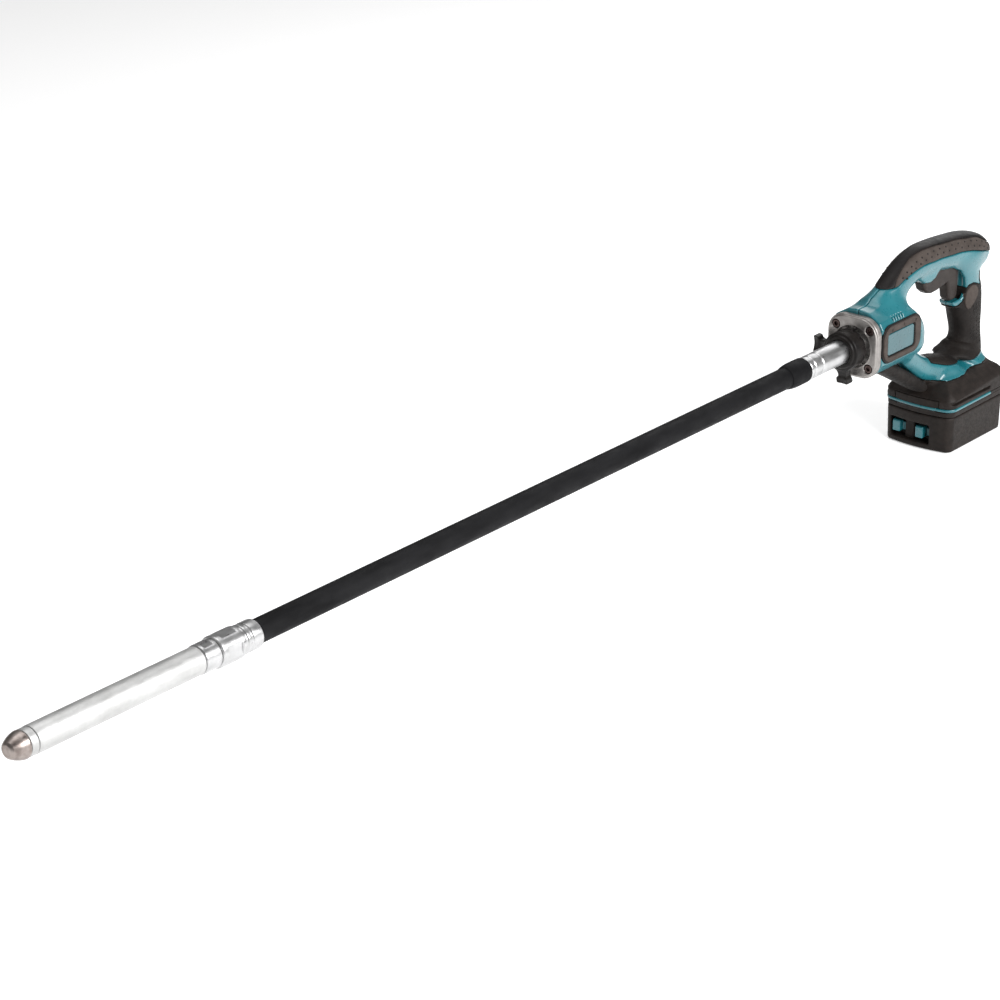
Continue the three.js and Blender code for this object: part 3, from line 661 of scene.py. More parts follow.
def make_nose(look):
    """The nose: a stub inside the tube, then a cone that rounds in to a blunt tip."""
    start, end = span("nose_cap")
    stub, stub_length, steps, blunt = 8.6, 18, 14, 1.4
    face = start + stub_length
    profile = [(start, 0), (start, stub), (face, stub), (face, HEAD_RADIUS - 0.5)]
    for k in range(1, steps + 1):
        t = k / steps
        profile.append((face + (end - blunt - face) * t, HEAD_RADIUS * (1 - 0.42 * t ** 1.8)))
    profile += [(end, 5.2), (end, 0)]
    turned("nose_cap", "head_nose", profile, look, round_by=0.6)


# ---- Flange, its screws and the locking collar ----

SCREW_SPOTS = [(20.5, 20.5), (-20.5, 20.5), (-20.5, -20.5), (20.5, -20.5)]
FLANGE_HALF = (31.0, 33.0, 20)


def flange_plan(grid, grow=0.0):
    """The flange's outline in the plane across the axis."""
    half_y, half_z, corner = FLANGE_HALF
    return rounded_rectangle(grid.y, grid.z - AXIS_Z, half_y + grow, half_z + grow, corner)


def from_axis(grid, y=0.0, z=0.0):
    return np.sqrt((grid.y - y) ** 2 + (grid.z - AXIS_Z - z) ** 2)


def from_pin(grid, x, z):
    """How far the grid's points are from a line straight across the tool."""
    return np.hypot(grid.x - x, grid.z - z)


def make_flange(look):
    """The casting: a stepped plate, a spigot inside the barrel, and a toothed recess for the collar."""
    thick, step, recess, recess_depth, bore = 9, 1.5, 22.2, 4.2, 12.8
    grid = Grid((FLANGE_X - 31, -32, AXIS_Z - 34), (FLANGE_X + 1, 32, AXIS_Z + 34), 0.6)
    plate = between(grid.x, FLANGE_X - thick, FLANGE_X)
    field = both(flange_plan(grid), plate, 1.2)
    lip = both(flange_plan(grid, -step), plate, 0.5)
    field = either(both(field, grid.x - (FLANGE_X - step), 1.0), lip, 0.8)
    spigot = both(from_axis(grid) - 22, between(grid.x, FLANGE_X - 29, FLANGE_X - 8))
    field = either(field, without(spigot, from_axis(grid) - 15.5))
    ring = both(from_axis(grid) - (recess + 1), between(grid.x, FLANGE_X - 2, FLANGE_X))
    field = either(field, ring, 1.0)
    field = without(field, both(from_axis(grid) - recess, FLANGE_X - recess_depth - grid.x), 0.6)
    for y, z in SCREW_SPOTS:
        pocket = both(from_axis(grid, y, z) - 5.0, FLANGE_X - 4.5 - grid.x)
        hole = from_axis(grid, y, z) - 2.9
        field = without(field, either(pocket, hole), 0.6)
    for y, z in spots_round(12, 21):
        tooth = both(from_axis(grid, y, z) - 2.4, between(grid.x, FLANGE_X - 5, FLANGE_X - 0.8))
        field = either(field, tooth, 0.5)
    field = without(field, from_axis(grid) - bore)
    stand_in("front_flange", "flange_casting", grid, field, look)


def make_flange_screws(look):
    """Socket-head screws, with a rounded rim and a six-sided socket."""
    for number, (y, z) in enumerate(SCREW_SPOTS, 1):
        grid = Grid((FLANGE_X - 8, y - 5, AXIS_Z + z - 5), (FLANGE_X, y + 5, AXIS_Z + z + 5), 0.25)
        away = from_axis(grid, y, z)
        head = both(away - 4.3, between(grid.x, FLANGE_X - 4.3, FLANGE_X - 0.4), 0.6)
        shank = both(away - 2.5, between(grid.x, FLANGE_X - 7.5, FLANGE_X - 3))
        field = without(either(head, shank), hex_socket(grid, y, z), 0.2)
        stand_in(f"flange_screw_{number}", f"flange_socket_screw_{number}", grid, field, look,
                 rounds=0)


def hex_socket(grid, y0, z0):
    """A six-sided hole in a flange screw's head."""
    half_across, depth = 2.2, 3.2
    sides = np.float32(-1e9)
    for k in range(3):
        turn = math.pi * k / 3
        across = (grid.y - y0) * math.cos(turn) + (grid.z - AXIS_Z - z0) * math.sin(turn)
        sides = np.maximum(sides, np.abs(across) - half_across)
    return np.maximum(sides, FLANGE_X - depth - grid.x)


def make_collar(look):
    """A stepped ring with two winged arms, one to the right and one down, each with a cross bar."""
    start, end = span("lock_collar")
    reach, inner, outer = 37.2, 17.4, 20.6
    front = end + 8
    grid = Grid((start, -reach, AXIS_Z - reach), (front, 22, AXIS_Z + 22), 0.5)
    ring = both(from_axis(grid) - inner, between(grid.x, start, front), 1.6)
    shoulder = both(from_axis(grid) - outer, between(grid.x, FLANGE_X + 3, front - 2), 2.0)
    field = either(ring, shoulder, 1.0)
    right_arm = collar_arm(grid, -grid.y, grid.z - AXIS_Z, start, 9.0)
    lower_arm = collar_arm(grid, AXIS_Z - grid.z, grid.y, start, 6.5)
    field = either(either(field, right_arm, 3.0), lower_arm, 3.0)
    for y, z in spots_round(12, 21, 0.5):
        notch = both(from_axis(grid, y, z) - 1.9, grid.x - (FLANGE_X + 9))
        field = without(field, notch, 0.6)
    field = without(field, from_axis(grid) - (SLEEVE_RADIUS + 0.35))
    field = both(field, start - grid.x)
    stand_in("lock_collar", "collar_ring", grid, field, look, body="collar")


def collar_arm(grid, along, aside, start, half_bar):
    """A waisted stem that leans back from the hose, and its cross bar, whose tips bend forward."""
    middle = start + 8.0 + 0.36 * np.maximum(34 - along, 0)
    waist = 4.6 + 0.03 * (along - 29) ** 2
    stem = np.maximum(np.abs(aside) - waist, np.abs(grid.x - middle) - 4.8)
    stem = both(stem, between(along, 12, 34), 1.0)
    bent = middle + 0.8 + 0.03 * aside ** 2
    bar = np.maximum(np.abs(aside) - half_bar, np.abs(grid.x - bent) - 5.4)
    bar = both(bar, between(along, 29.4, 37.0), 2.6)
    return either(stem, bar, 2.4)


# ---- Outer shape of the motor unit ----

# Stations of the swept members: x, z, half depth in the plane, half width.
HANDLE_BAR = [
    (143, 175, 24, 15.5), (127, 188, 19.5, 14.5), (112, 200, 17, 14.5), (95, 208.5, 17, 14.5),
    (74, 213, 17.5, 15), (48, 213, 17.5, 15), (20, 210, 18.5, 15), (-10, 205.5, 19.5, 15),
    (-36, 199, 18.5, 14.5), (-54, 191.5, 14.5, 12), (-60, 188, 12, 9),
]
REAR_GRIP = [
    (-21, 196, 27, 13.5), (-21, 176, 26.5, 13.5), (-22, 163, 25.5, 14), (-26, 150, 25, 15),
    (-29.5, 132, 21, 15.5), (-32.5, 112, 18.5, 14.5), (-32, 98, 20, 16.5), (-28, 88, 26, 21.5),
    (-24, 79, 34, 28),
]
STRUT = [
    (128, 140, 17, 18), (104, 122, 14, 14), (80, 105, 12, 13), (56, 90, 13.5, 14), (30, 81.5, 15.5, 19),
    (10, 74, 15, 25),
]
BUMPER = [(148, 120, 7, 14), (124, 108.5, 8, 13), (98, 94, 8, 12), (74, 80, 7.5, 12.5), (57, 69, 6, 14)]
BARREL_SIDE = [
    (0, 38), (13, 36.5), (20, 32.5), (27, 28), (31, 21), (31, 0), (31, -18), (26, -26), (20, -31), (9, -34),
]
TRIGGER_LOBE = [(80, 206), (77, 196), (68, 190), (57, 188), (48, 190.5), (42, 196), (42, 206)]
TRIGGER_CHIN = [(8, 152.3), (7, 149), (2, 145), (-14, 143), (-14, 157), (-10, 157), (-6, 152.3)]
TRIGGER_WINDOW = [
    (-5, 152), (-9, 156), (-11.5, 163), (-9.5, 176), (-2, 186), (12, 190.5), (28, 192.5), (42, 190),
    (42, 140), (30, 140), (30, 152),
]
TRIGGER_SLOT = [
    (68.5, 204), (68.5, 140), (13, 140), (13, 152), (-10, 152), (-11.5, 158), (-11.5, 205.5), (40, 205.5),
]
BARREL_FRONT = 180.7
FOOT = {"length": 54.5, "width": 43.0, "corner": 9.0, "bow": 6.0}

# Part lines on the outer shape, each a line of x and z seen from the side.
CROWN_LINE = [
    (-80, 200), (-60, 203), (-53, 206), (-43.5, 210.5), (-29.5, 216.6), (-8, 220.5), (10.5, 223.6),
    (37, 226), (56, 227.7), (73.6, 228), (88, 226.3), (100, 222.9), (112.4, 216.5), (124, 208.6),
    (131, 201.7), (150, 190),
]
BAND_LINE = [
    (-80, 186), (-56, 194.6), (-35, 200.4), (-18, 205), (4, 209), (23, 210.6), (43, 212.4), (59, 212.9),
    (76, 213.6), (88, 212.5), (100, 210.3), (112, 207.3), (121, 203.8), (127, 201.7), (136, 201.5),
    (160, 201.5),
]
SLEEVE_LINE = [
    (-60, 157), (-45, 159), (-34, 163.5), (-24, 166.8), (-14, 166), (-10.5, 161), (-8, 152), (-4, 147.5),
    (0, 146.5), (12, 146.5), (20, 146.5),
]
TEAL_LOWER = [
    (-75, 84), (-58, 82), (-34, 80), (-12, 78), (4, 76), (24, 74.2), (44, 75.4), (64, 81), (86, 96),
    (104, 109), (121, 119), (140, 121), (160, 122), (190, 122),
]
BOOT_LOWER = [
    (-75, 91), (-58, 89.5), (-34, 87), (-10, 85.5), (10, 86), (25, 88), (38, 92), (52, 97), (60, 100),
]


def barrel(grid, shrink=0.0):
    """The motor barrel: a ridged section along X, whose rear end curves in at its top and sides."""
    inset, mean_radius = 2.0, 34
    keep = 1 - inset / mean_radius
    half = [(y * keep, AXIS_Z + z * keep) for y, z in BARREL_SIDE]
    other = [(-y, z) for y, z in half[1:]][::-1]
    section = outline(grid.y, grid.z, half + other, inset) + shrink
    rise = np.maximum(grid.z - 145, 0) / 35.4
    drop = np.maximum(140 - grid.z, 0) / 22
    rear_x = 85.5 + 28 * rise ** 2 + 10 * drop ** 2 + 12 * (grid.aside / 31) ** 4
    lean = np.sqrt(1 + (1.92 * rise) ** 2 + (0.9 * drop) ** 2)
    return both(section, (rear_x - grid.x) / lean + shrink, 7)


def foot_plan(grid):
    """The foot's outline seen from above: a rounded rectangle with its front bowed out."""
    reach = np.clip((grid.x + 10) / 40, 0, 1)
    bow = FOOT["bow"] * (1 - (grid.y / FOOT["width"]) ** 2) * reach
    return rounded_rectangle(grid.x - bow, grid.y, FOOT["length"], FOOT["width"], FOOT["corner"])


def foot_dome(grid):
    """The foot over the battery: upright sides, a ledge that rises rearwards, and a domed top."""
    plan = foot_plan(grid)
    ledge = 58 + (50 - grid.x) * 0.07
    heights = [-20, 0, 1.5, 4, 8, 12, 16, 20, 24, 28]
    insets = [0, 0, 0.8, 2.6, 6.5, 11.5, 18, 27, 40, 60]
    inset = np.interp(grid.z - ledge, heights, insets).astype(np.float32)
    slope = np.interp(grid.z - ledge, heights, [1, 1, 0.9, 0.8, 0.65, 0.55, 0.45, 0.4, 0.3, 0.3])
    return (plan + inset) * slope.astype(np.float32)


def outer_shape(grid):
    """The motor unit's whole outside, with fillets where its members meet."""
    bar = swept(grid, HANDLE_BAR)
    grip = swept(grid, REAR_GRIP)
    upper = either(barrel(grid), bar, 14)
    upper = either(upper, grip, 10)
    upper = without(upper, outline(grid.x, grid.z, TRIGGER_WINDOW), 2.5)
    upper = either(upper, trigger_guard(grid), 3)
    lower = either(foot_dome(grid), swept(grid, STRUT), 9)
    return either(upper, lower, 10)


def trigger_guard(grid):
    """The lobe that holds the trigger's pivot, and the chin under its finger rest."""
    lobe = both(outline(grid.x, grid.z, TRIGGER_LOBE, 1.0), grid.aside - 11, 5)
    chin = both(outline(grid.x, grid.z, TRIGGER_CHIN, 0.5), grid.aside - 9.5, 3)
    return either(lobe, chin, 1)


def above(grid, line):
    return level_line(grid.x[:, 0, 0], line)[:, None, None] - grid.z


def grip_sleeve_region(grid):
    """Where the rear grip's soft sleeve lies: under a thumb-shaped top line, over the boot line."""
    forward = grid.x - (52 - 0.9 * np.maximum(grid.z - 104, 0))
    return both(both(above(grid, BOOT_LOWER), -above(grid, SLEEVE_LINE), 1.5), forward, 1.0)


SEAM = 0.25
PART_LINE = 0.9
BAND_SUNK = 0.3
SLEEVE_PROUD = 0.5


def housing_fields(grid):
    """The motor unit's outside, split at its part lines into named regions."""
    shape = outer_shape(grid)
    pad = swept(grid, BUMPER)
    boot = grip_sleeve_region(grid)
    under_teal = -above(grid, TEAL_LOWER)
    cover = both(swept(grid, HANDLE_BAR, shrink=-0.4), above(grid, BAND_LINE), PART_LINE)
    over_crown = above(grid, CROWN_LINE)
    teal = without(shape, cover - SEAM, PART_LINE)
    teal = without(teal, boot - SEAM, PART_LINE)
    teal = without(teal, both(under_teal, grid.x - 147) - SEAM, PART_LINE)
    skirt = both(either(shape, pad + 0.5, 6), under_teal, PART_LINE)
    return {
        "teal": teal,
        "crown": both(cover, over_crown + SEAM, PART_LINE),
        "band": both(cover + BAND_SUNK, -over_crown + SEAM, PART_LINE),
        "sleeve": both(shape - SLEEVE_PROUD, boot, PART_LINE),
        "bumper": both(pad, both(under_teal, grid.x - 146), PART_LINE),
        "skirt": both(skirt, grid.x - 60.5, 1),
    }


# ---- Housing, covers and foot ----

SIDES = ((1, "left"), (-1, "right"))
PLATE = {"x": 144.3, "z": 155.0, "length": 36.0, "height": 20.3, "corner": 14.0}
WINDOW = {"x": 146.0, "z": 154.2, "length": 25.0, "height": 12.0, "corner": 4.0}
LOCK_Z = 167
BLOCK = {"half": 27.0, "top": 58.4, "rear": -41}
VENTS = {"first": 139, "pitch": 4.4, "count": 5, "y": 28.0, "z": 179.5}


def plate_outline(grid, plate, grow=0.0):
    """A rounded rectangle on the barrel's side, seen from the side."""
    half_x, half_z = plate["length"] + grow, plate["height"] + grow
    return rounded_rectangle(grid.x - plate["x"], grid.z - plate["z"], half_x, half_z, plate["corner"])


def lock_button_field(grid, grow=0.0):
    """The lock button's oval, seen from behind."""
    half_y, half_z = 5, 9
    reach = np.hypot(grid.y / (half_y + grow), (grid.z - LOCK_Z) / (half_z + grow))
    return (reach - 1) * half_y


def trigger_slot(grid):
    return both(outline(grid.x, grid.z, TRIGGER_SLOT), grid.aside - 7.4)


def housing_cuts(grid, teal):
    """The openings in the teal shells, and the motor's room inside a wall."""
    wall, room_radius, bottom = 2.0, 27, 50.4
    teal = without(teal, trigger_slot(grid), 0.8)
    teal = without(teal, both(plate_outline(grid, PLATE, 0.8), 29.7 - grid.aside), 0.5)
    teal = without(teal, both(lock_button_field(grid, 0.7), grid.x + 34), 0.8)
    teal = without(teal, block_channel(grid))
    teal = both(teal, bottom - grid.z)
    room = both(from_axis(grid) - room_radius, between(grid.x, 88, BARREL_FRONT + 5))
    teal = without(teal, both(room, barrel(grid, wall)))
    teal = without(teal, vent_slits(grid), 0.3)
    return both(teal, grid.x - BARREL_FRONT, 0.8)


def switch_room(grid):
    """The room for the switch and for its plunger's travel, inside the handle bar."""
    gap, travel, corner = 0.5, 6.5, 0.2
    margin = Vector((gap, gap, gap))
    low, high = box_mm("switch_body")
    room = rounded_box(grid, low - margin, high + margin, corner)
    low, high = box_mm("switch_plunger")
    high.z += travel - gap
    return either(room, rounded_box(grid, low - margin, high + margin, corner))


def block_channel(grid):
    """The room for the battery's raised block, open at the front."""
    gap = 0.3
    return both(grid.aside - (BLOCK["half"] + gap),
                np.maximum(BLOCK["rear"] - grid.x, grid.z - BLOCK["top"]))


def vent_slits(grid):
    """The row of small vents on the ridge above the nameplate."""
    half_width, reach = 0.8, 4.0
    ridge = np.hypot(grid.aside - VENTS["y"], grid.z - VENTS["z"]) - reach
    slits = np.float32(1e9)
    for k in range(VENTS["count"]):
        x = VENTS["first"] + VENTS["pitch"] * k
        slits = np.minimum(slits, np.maximum(np.abs(grid.x - x) - half_width, ridge))
    return slits


def make_housing(teal_look, crown_look, band_look, grip_look, foot_look):
    """The two teal shells, and the soft covers and the foot skirt moulded over them."""
    grid = Grid((-64, -44, 48), (BARREL_FRONT, 44, 234), 0.9)
    fields = housing_fields(grid)
    room = switch_room(grid)
    for name in ("teal", "crown", "band"):
        fields[name] = without(fields[name], room)
    teal = housing_cuts(grid, fields["teal"])
    for side, name in SIDES:
        half = both(teal, 0.12 - side * grid.y, 0.35)
        stand_in(f"housing_{name}", f"housing_shell_{name}", grid, half, teal_look)
    stand_in("top_grip_cover", "crown_cover", grid, fields["crown"], crown_look)
    relax(skin("crown_side_band", grid, fields["band"], band_look))
    sleeve = both(without(fields["sleeve"], trigger_slot(grid), 0.8), 60 - grid.z)
    stand_in("rear_grip_cover", "grip_sleeve", grid, sleeve, grip_look)
    stand_in("strut_bumper", "strut_pad", grid, fields["bumper"], grip_look)
    skirt = foot_cuts(grid, fields["skirt"])
    stand_in("foot_skirt", "foot_boot", grid, skirt, foot_look)


def foot_cuts(grid, skirt):
    """The channel for the battery, the side slots, and the foot's flat underside."""
    skirt = without(skirt, block_channel(grid))
    for right, left in ((39.5, 60), (-60, -39.5)):
        slot = rounded_box(grid, (-22, right, 54.6), (57, left, 57.4), 1.0)
        skirt = without(skirt, slot, 0.5)
    return both(skirt, 50.3 - grid.z, 0.6)


def make_rim(look, foot_look):
    """The thin bright rim round the front and sides, and the dark one behind it."""
    low, high = box_mm("rail_holder")
    rear_end, opening_half, middle_half = -24, 24.5, 24.4
    grid = Grid((-57, -44, low.z - 1), (61, 44, high.z + 1), 0.45)
    level = between(grid.z, low.z, high.z)
    strip = both(foot_plan(grid) - 0.1, level, 1.4)
    opening = both(grid.aside - opening_half, -40.6 - grid.x)
    front = both(without(strip, opening), rear_end - grid.x, 1.0)
    stand_in("rail_holder", "bright_rim", grid, front, look)
    middle = both(strip, np.maximum(grid.aside - middle_half, 52 - grid.x))
    relax(skin("bright_rim_middle", grid, middle, look, body="battery"))
    rear = both(both(foot_plan(grid) + 0.3, level, 0.4), grid.x - (rear_end - 0.4))
    relax(skin("rear_rim", grid, without(rear, opening), foot_look))


def make_nameplates(frame_look, plate_look, gasket_look):
    """Blank plates in rounded frames, one on each side of the barrel."""
    x0, z0 = PLATE["x"], PLATE["z"]
    for side, name in SIDES:
        right, left = sorted((side * 29.0, side * 33.6))
        grid = Grid((x0 - 37, right, z0 - 22), (x0 + 37, left, z0 + 22), 0.45)
        out = side * grid.y
        gasket = both(plate_outline(grid, PLATE, 0.6), between(out, 29.8, 31.9), 0.6)
        gasket = without(gasket, plate_outline(grid, WINDOW, 0.1))
        relax(skin(f"nameplate_gasket_{name}", grid, gasket, gasket_look))
        rim = both(plate_outline(grid, PLATE, -1.0), between(out, 29.9, 33.2), 1.4)
        rim = without(rim, plate_outline(grid, WINDOW, 1.1), 1.0)
        for k in (-1, 0, 1):
            x, z = x0 + 22 * k - 1.5, z0 + 16.0 - 1.4 * abs(k)
            rim = without(rim, both(from_pin(grid, x, z) - 1.4, 32.0 - out), 0.3)
        stand_in(f"badge_frame_{name}", f"nameplate_frame_{name}", grid, rim, frame_look)
        plate = both(plate_outline(grid, WINDOW, -0.3), between(out, 29.9, 31.8), 0.6)
        stand_in(f"badge_plate_{name}", f"nameplate_{name}", grid, plate, plate_look)


SQUARENESS = 2.4


def bar_point(path, share, rise):
    """A point on the handle bar's left side: share along its path, rise of its half depth up."""
    at, step = share * (len(path) - 1), 2.0
    order = np.arange(len(path))
    x, z, depth, width = (np.interp(at, order, path[:, k]) for k in range(4))
    next_x, next_z = (np.interp(at + step, order, path[:, k]) for k in (0, 1))
    tangent = Vector((next_x - x, 0, next_z - z)).normalized()
    up = Vector((tangent.z, 0, -tangent.x))
    if up.z < 0:
        up.negate()
    side = width * (1 - abs(rise) ** SQUARENESS) ** (1 / SQUARENESS)
    return Vector((x, 0, z)) + up * (depth * rise), side, up


def make_band_dots(look):
    """Two rows of small round plugs along each side of the crown's band."""
    points, faces = [], []
    rows = ((0.62, 0.0), (0.34, 0.5))
    first, pitch, count = 0.205, 0.042, 17
    path = smooth_path(HANDLE_BAR)
    for side, _ in SIDES:
        for rise, shift in rows:
            for k in range(count):
                centre, width, up = bar_point(path, first + pitch * (k + shift), rise)
                centre.y = side * width
                normal = Vector((0, side, 0)) * (1 - abs(rise)) + up * rise
                add_disc(points, faces, centre, normal.normalized(), 1.15, 0.5)
    tidy_mesh(piece_from("band_dots", points, faces, look))


def add_disc(points, faces, centre, normal, radius, height, sides=12):
    """A low round plug, domed by a bevel, standing a little out of the surface it sits in."""
    turn = Vector((0, 0, 1)).rotation_difference(normal).to_matrix()
    rings = ((radius, -1.6), (radius, height * 0.4), (radius * 0.7, height), (0.0, height))
    first = len(points)
    for r, h in rings:
        for u, v in spots_round(sides, r):
            points.append(tuple((centre + turn @ Vector((u, v, h))) * MM))
    faces.append([first + k for k in range(sides)][::-1])
    for ring in range(len(rings) - 1):
        for k in range(sides):
            a = first + ring * sides + k
            b = first + ring * sides + (k + 1) % sides
            faces.append((a, b, b + sides, a + sides))


def make_thumb_rests(look):
    """An oval pad on each side of the grip's top."""
    centre_x, centre_z, half_x, half_z = -21.5, 151.5, 13.5, 14
    for side, name in SIDES:
        right, left = sorted((side * 9, side * 16.5))
        grid = Grid((-38, right, 136), (-6, left, 167), 0.4)
        reach = np.hypot((grid.x - centre_x) / half_x, (grid.z - centre_z) / half_z)
        pad = both((reach - 1) * 9, side * grid.y - (16.0 - 1.4 * reach ** 2), 1.0)
        pad = both(pad, 9.5 - side * grid.y)
        relax(skin(f"thumb_rest_{name}", grid, pad, look))


def make_grip_nubs(look):
    """Rows of small nubs on the grip's sides."""
    points, faces = [], []
    path = smooth_path(REAR_GRIP)
    for side, _ in SIDES:
        for row in range(10):
            for column in range(4):
                z = 143 - 5 * row - 1.0 * column
                x, _, depth, full_width = path[np.argmin(np.abs(path[:, 1] - z))]
                across = -0.35 + 0.28 * column
                width = full_width * (1 - abs(across) ** SQUARENESS) ** (1 / SQUARENESS)
                centre = Vector((x + across * depth, side * (width + 0.3), z))
                normal = Vector((0.5 * across, side, 0)).normalized()
                add_disc(points, faces, centre, normal, 1.0, 0.6, 10)
    tidy_mesh(piece_from("grip_nubs", points, faces, look))


def make_back_pad(look):
    """The soft pad up the back of the grip, which frames the lock button."""
    grid = Grid((-54, -13, 155), (-40, 13, 179), 0.5)
    pad = both(swept(grid, REAR_GRIP, shrink=-0.7), np.abs(grid.z - LOCK_Z) - 10.8, 1.2)
    front = grid.x + 41.5 - 0.25 * grid.aside
    pad = both(pad, np.maximum(front, grid.aside - 12.5), 1.0)
    pad = without(pad, swept(grid, REAR_GRIP, shrink=1.0))
    pad = without(pad, lock_button_field(grid, 0.5), 0.4)
    relax(skin("grip_back_pad", grid, pad, look))


# ---- Trigger and buttons ----

TRIGGER_SIDE = [
    (66, 199), (65.5, 187), (62, 179), (55, 174), (47, 172), (36, 172.5), (25, 174.5), (18, 176),
    (15.5, 168), (13.5, 157.5), (9, 153.3), (1, 153), (-3.5, 156.5), (-5, 165), (-5, 180), (-3, 196),
    (28, 198), (52, 199),
]
PIVOT = (60, 194)


def make_trigger(look):
    grid = Grid((-6, -7, 152), (67, 7, 200), 0.45)
    field = both(outline(grid.x, grid.z, TRIGGER_SIDE), grid.aside - 6.6, 4.5)
    field = without(field, from_pin(grid, *PIVOT) - 2.3)
    stand_in("trigger", "trigger_blade", grid, field, look, body="trigger_lever", rounds=3)


def make_lock_button(look):
    """The oval lock button, dished for a thumb."""
    rear, front = span("lock_button")
    grid = Grid((rear, -6, LOCK_Z - 10), (front, 6, LOCK_Z + 10), 0.4)
    dish = np.sqrt((grid.x - (rear - 21)) ** 2 + grid.y ** 2 + (0.6 * (grid.z - LOCK_Z)) ** 2) - 22.2
    field = both(lock_button_field(grid), between(grid.x, rear, front), 1.4)
    stand_in("lock_button", "lock_off_button", grid, without(field, dish, 0.6), look, body="lock_off")


def make_cross_screws(look):
    """The housing's cross screws, from the right, with pan heads and cross recesses."""
    head_radius, head_depth, shank_radius = 3.1, 2.4, 1.45
    for number in range(1, 6):
        low, high = box_mm(f"housing_screw_{number}")
        x, z = (low.x + high.x) / 2, (low.z + high.z) / 2
        grid = Grid((x - 3.3, low.y, z - 3.3), (x + 3.3, high.y, z + 3.3), 0.3)
        away = from_pin(grid, x, z)
        head = both(away - head_radius, between(grid.y, low.y, low.y + head_depth), 1.0)
        shank = both(away - shank_radius, between(grid.y, low.y + 1, high.y), 0.5)
        cross = np.minimum(np.abs(grid.x - x), np.abs(grid.z - z)) - 0.55
        recess = np.maximum(np.maximum(cross, away - 1.9), grid.y - (low.y + 1.3))
        field = without(either(head, shank), recess, 0.2)
        stand_in(f"housing_screw_{number}", f"cross_screw_{number}", grid, field, look,
                 rounds=0)


# ---- Battery ----

RECESS_Y = -8.5


def battery_plan(grid):
    """The battery's outline from above: the foot's, drawn in a little towards the bottom."""
    return foot_plan(grid) + 1.2 + 0.028 * (46 - grid.z)


def make_battery(case_look, button_look):
    """The battery: its case with a recess for the release button, its deck and the button."""
    top = box_mm("battery_case_lower")[1].z
    wall, floor = 2.8, 3
    grid = Grid((-56, -43, -1), (61, 43, top + 1), 0.8)
    plan = battery_plan(grid)
    field = both(plan, between(grid.z, 0, top), 2.6)
    recess = rounded_box(grid, (43.5, RECESS_Y - 25, 6), (90, RECESS_Y + 25, 28), 2.0)
    field = without(field, recess, 1.2)
    post = rounded_box(grid, (41, RECESS_Y - 9, 4), (50.5, RECESS_Y + 3, 30), 1.5)
    field = either(field, both(post, plan + 0.4), 0.8)
    field = without(field, both(plan + wall, np.maximum(floor - grid.z, grid.x - 40.5)))
    stand_in("battery_case_lower", "battery_shell", grid, field, case_look, body="battery")
    make_battery_deck(case_look)
    make_battery_button(button_look)


def make_battery_deck(look):
    """The battery's upper case and the raised block that its rails are on."""
    low, high = box_mm("battery_case_upper")
    wall, deck_top = 2.8, 46.3
    grid = Grid((-56, -43, low.z), (61, 43, high.z), 0.7)
    plan = battery_plan(grid)
    deck = both(plan, between(grid.z, low.z + 0.1, deck_top), 1.0)
    neck = both(both(grid.aside - 24, -40 - grid.x), between(grid.z, 45, 51))
    head = both(both(grid.aside - BLOCK["half"], -40 - grid.x, 1), between(grid.z, 50.4, high.z), 0.4)
    block = both(either(neck, head), foot_plan(grid) + 0.6, 0.4)
    field = either(deck, block, 0.5)
    for y in (-12, 0, 12):
        slot = np.maximum(np.abs(grid.y - y) - 1.4, np.maximum(52 - grid.z, grid.x + 3))
        field = without(field, slot, 0.3)
    field = without(field, both(plan + wall, grid.z - 43.9))
    stand_in("battery_case_upper", "battery_deck", grid, field, look, body="battery")


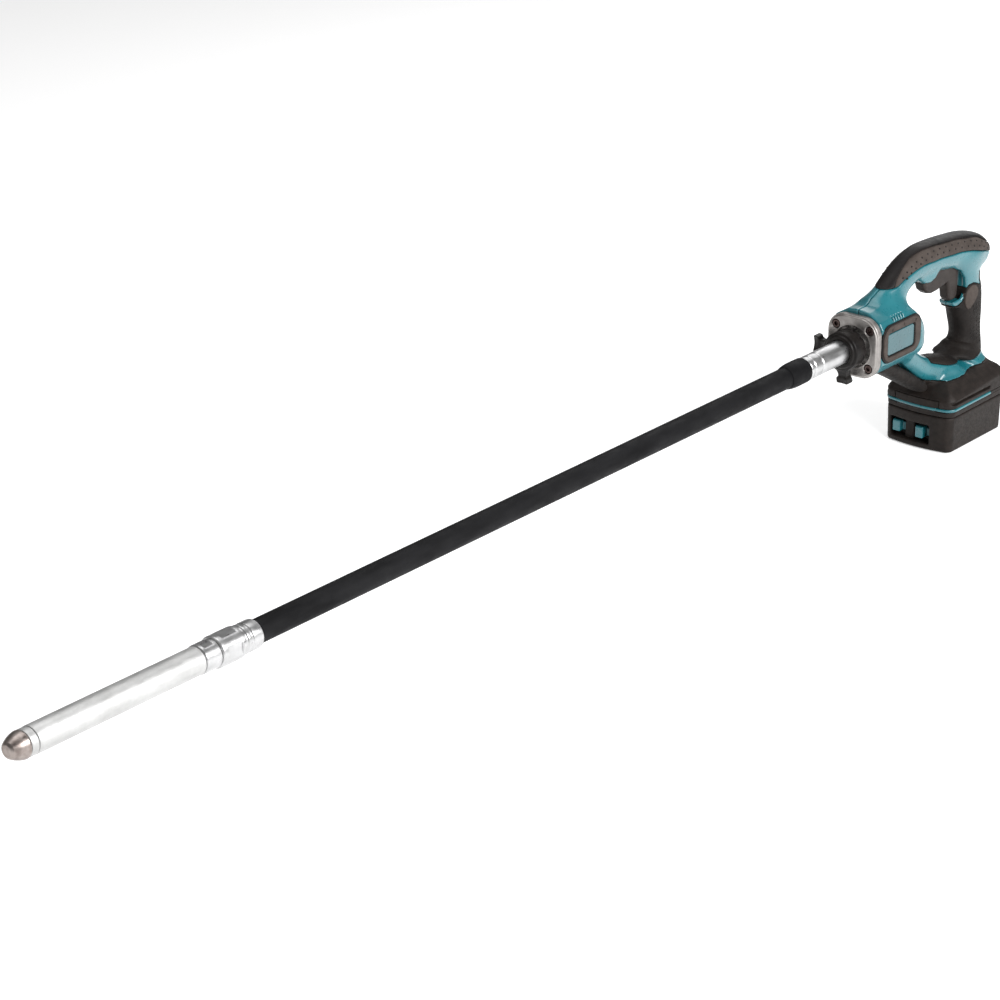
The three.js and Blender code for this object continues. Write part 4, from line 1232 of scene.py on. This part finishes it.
def make_battery_button(look):
    """Two rounded lobes, either side of the post, on the bar that pulls the latch."""
    grid = Grid((44, RECESS_Y - 24, 10), (58, RECESS_Y + 24, 25), 0.4)
    field = rounded_box(grid, (45, RECESS_Y - 20, 12), (47.5, RECESS_Y + 20, 21), 0.8)
    for right, left, front in ((-1.5, 8.5, 57.0), (-31.8, -21.8, 54.0)):
        lobe = rounded_box(grid, (46, right, 10.6), (front, left, 24), 2.0)
        field = either(field, lobe, 1.2)
    stand_in("battery_button", "battery_release_button", grid, field, look, body="battery_release")


# ---- Pieces kept as the frame has them ----

def dress(looks):
    """Gives each inner piece its material."""
    for look, names in looks:
        for name in names:
            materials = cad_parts[name].data.materials
            materials.clear()
            materials.append(look)


def build():
    make_camera()
    hose_look = hose_rubber()
    make_hose(hose_look)
    make_floor()
    make_lighting()
    teal, foot_look, black = teal_plastic(), dark_plastic(), black_nylon()
    crown_look, band_look, grip_look = crown_rubber(), band_rubber(), grip_rubber()
    steel, bright, dark = satin_steel(), polished_steel(), dark_steel()
    make_cuff(hose_look)
    make_sleeve(bright)
    make_ferrule(bright)
    make_adapter(bright)
    make_head(steel, nose_steel())
    make_flange(cast_aluminium())
    make_flange_screws(dark)
    make_collar(black)
    make_housing(teal, crown_look, band_look, grip_look, foot_look)
    make_rim(teal, foot_look)
    make_nameplates(band_look, nameplate_teal(), crown_look)
    make_band_dots(crown_look)
    make_thumb_rests(band_look)
    make_back_pad(black)
    make_grip_nubs(black)
    make_trigger(trigger_plastic())
    make_lock_button(foot_look)
    make_cross_screws(dark)
    make_battery(foot_look, teal)
    dress([
        (steel, ["flexible_shaft", "head_bearing_rear", "head_bearing_front", "eccentric_rotor",
                 "drive_coupling", "motor_yoke", "motor_bearing_front", "motor_bearing_rear",
                 "trigger_pin", "trigger_spring"]),
        (black, ["motor_fan", "brush_holder_left", "brush_holder_right", "switch_body",
                 "switch_plunger", "terminal_block"]),
        (copper_winding(), ["armature"]),
        (crown_look, ["shaft_seal"]),
        (cell_wrap(), ["cell_row_lower", "cell_row_upper"]),
    ])


build()
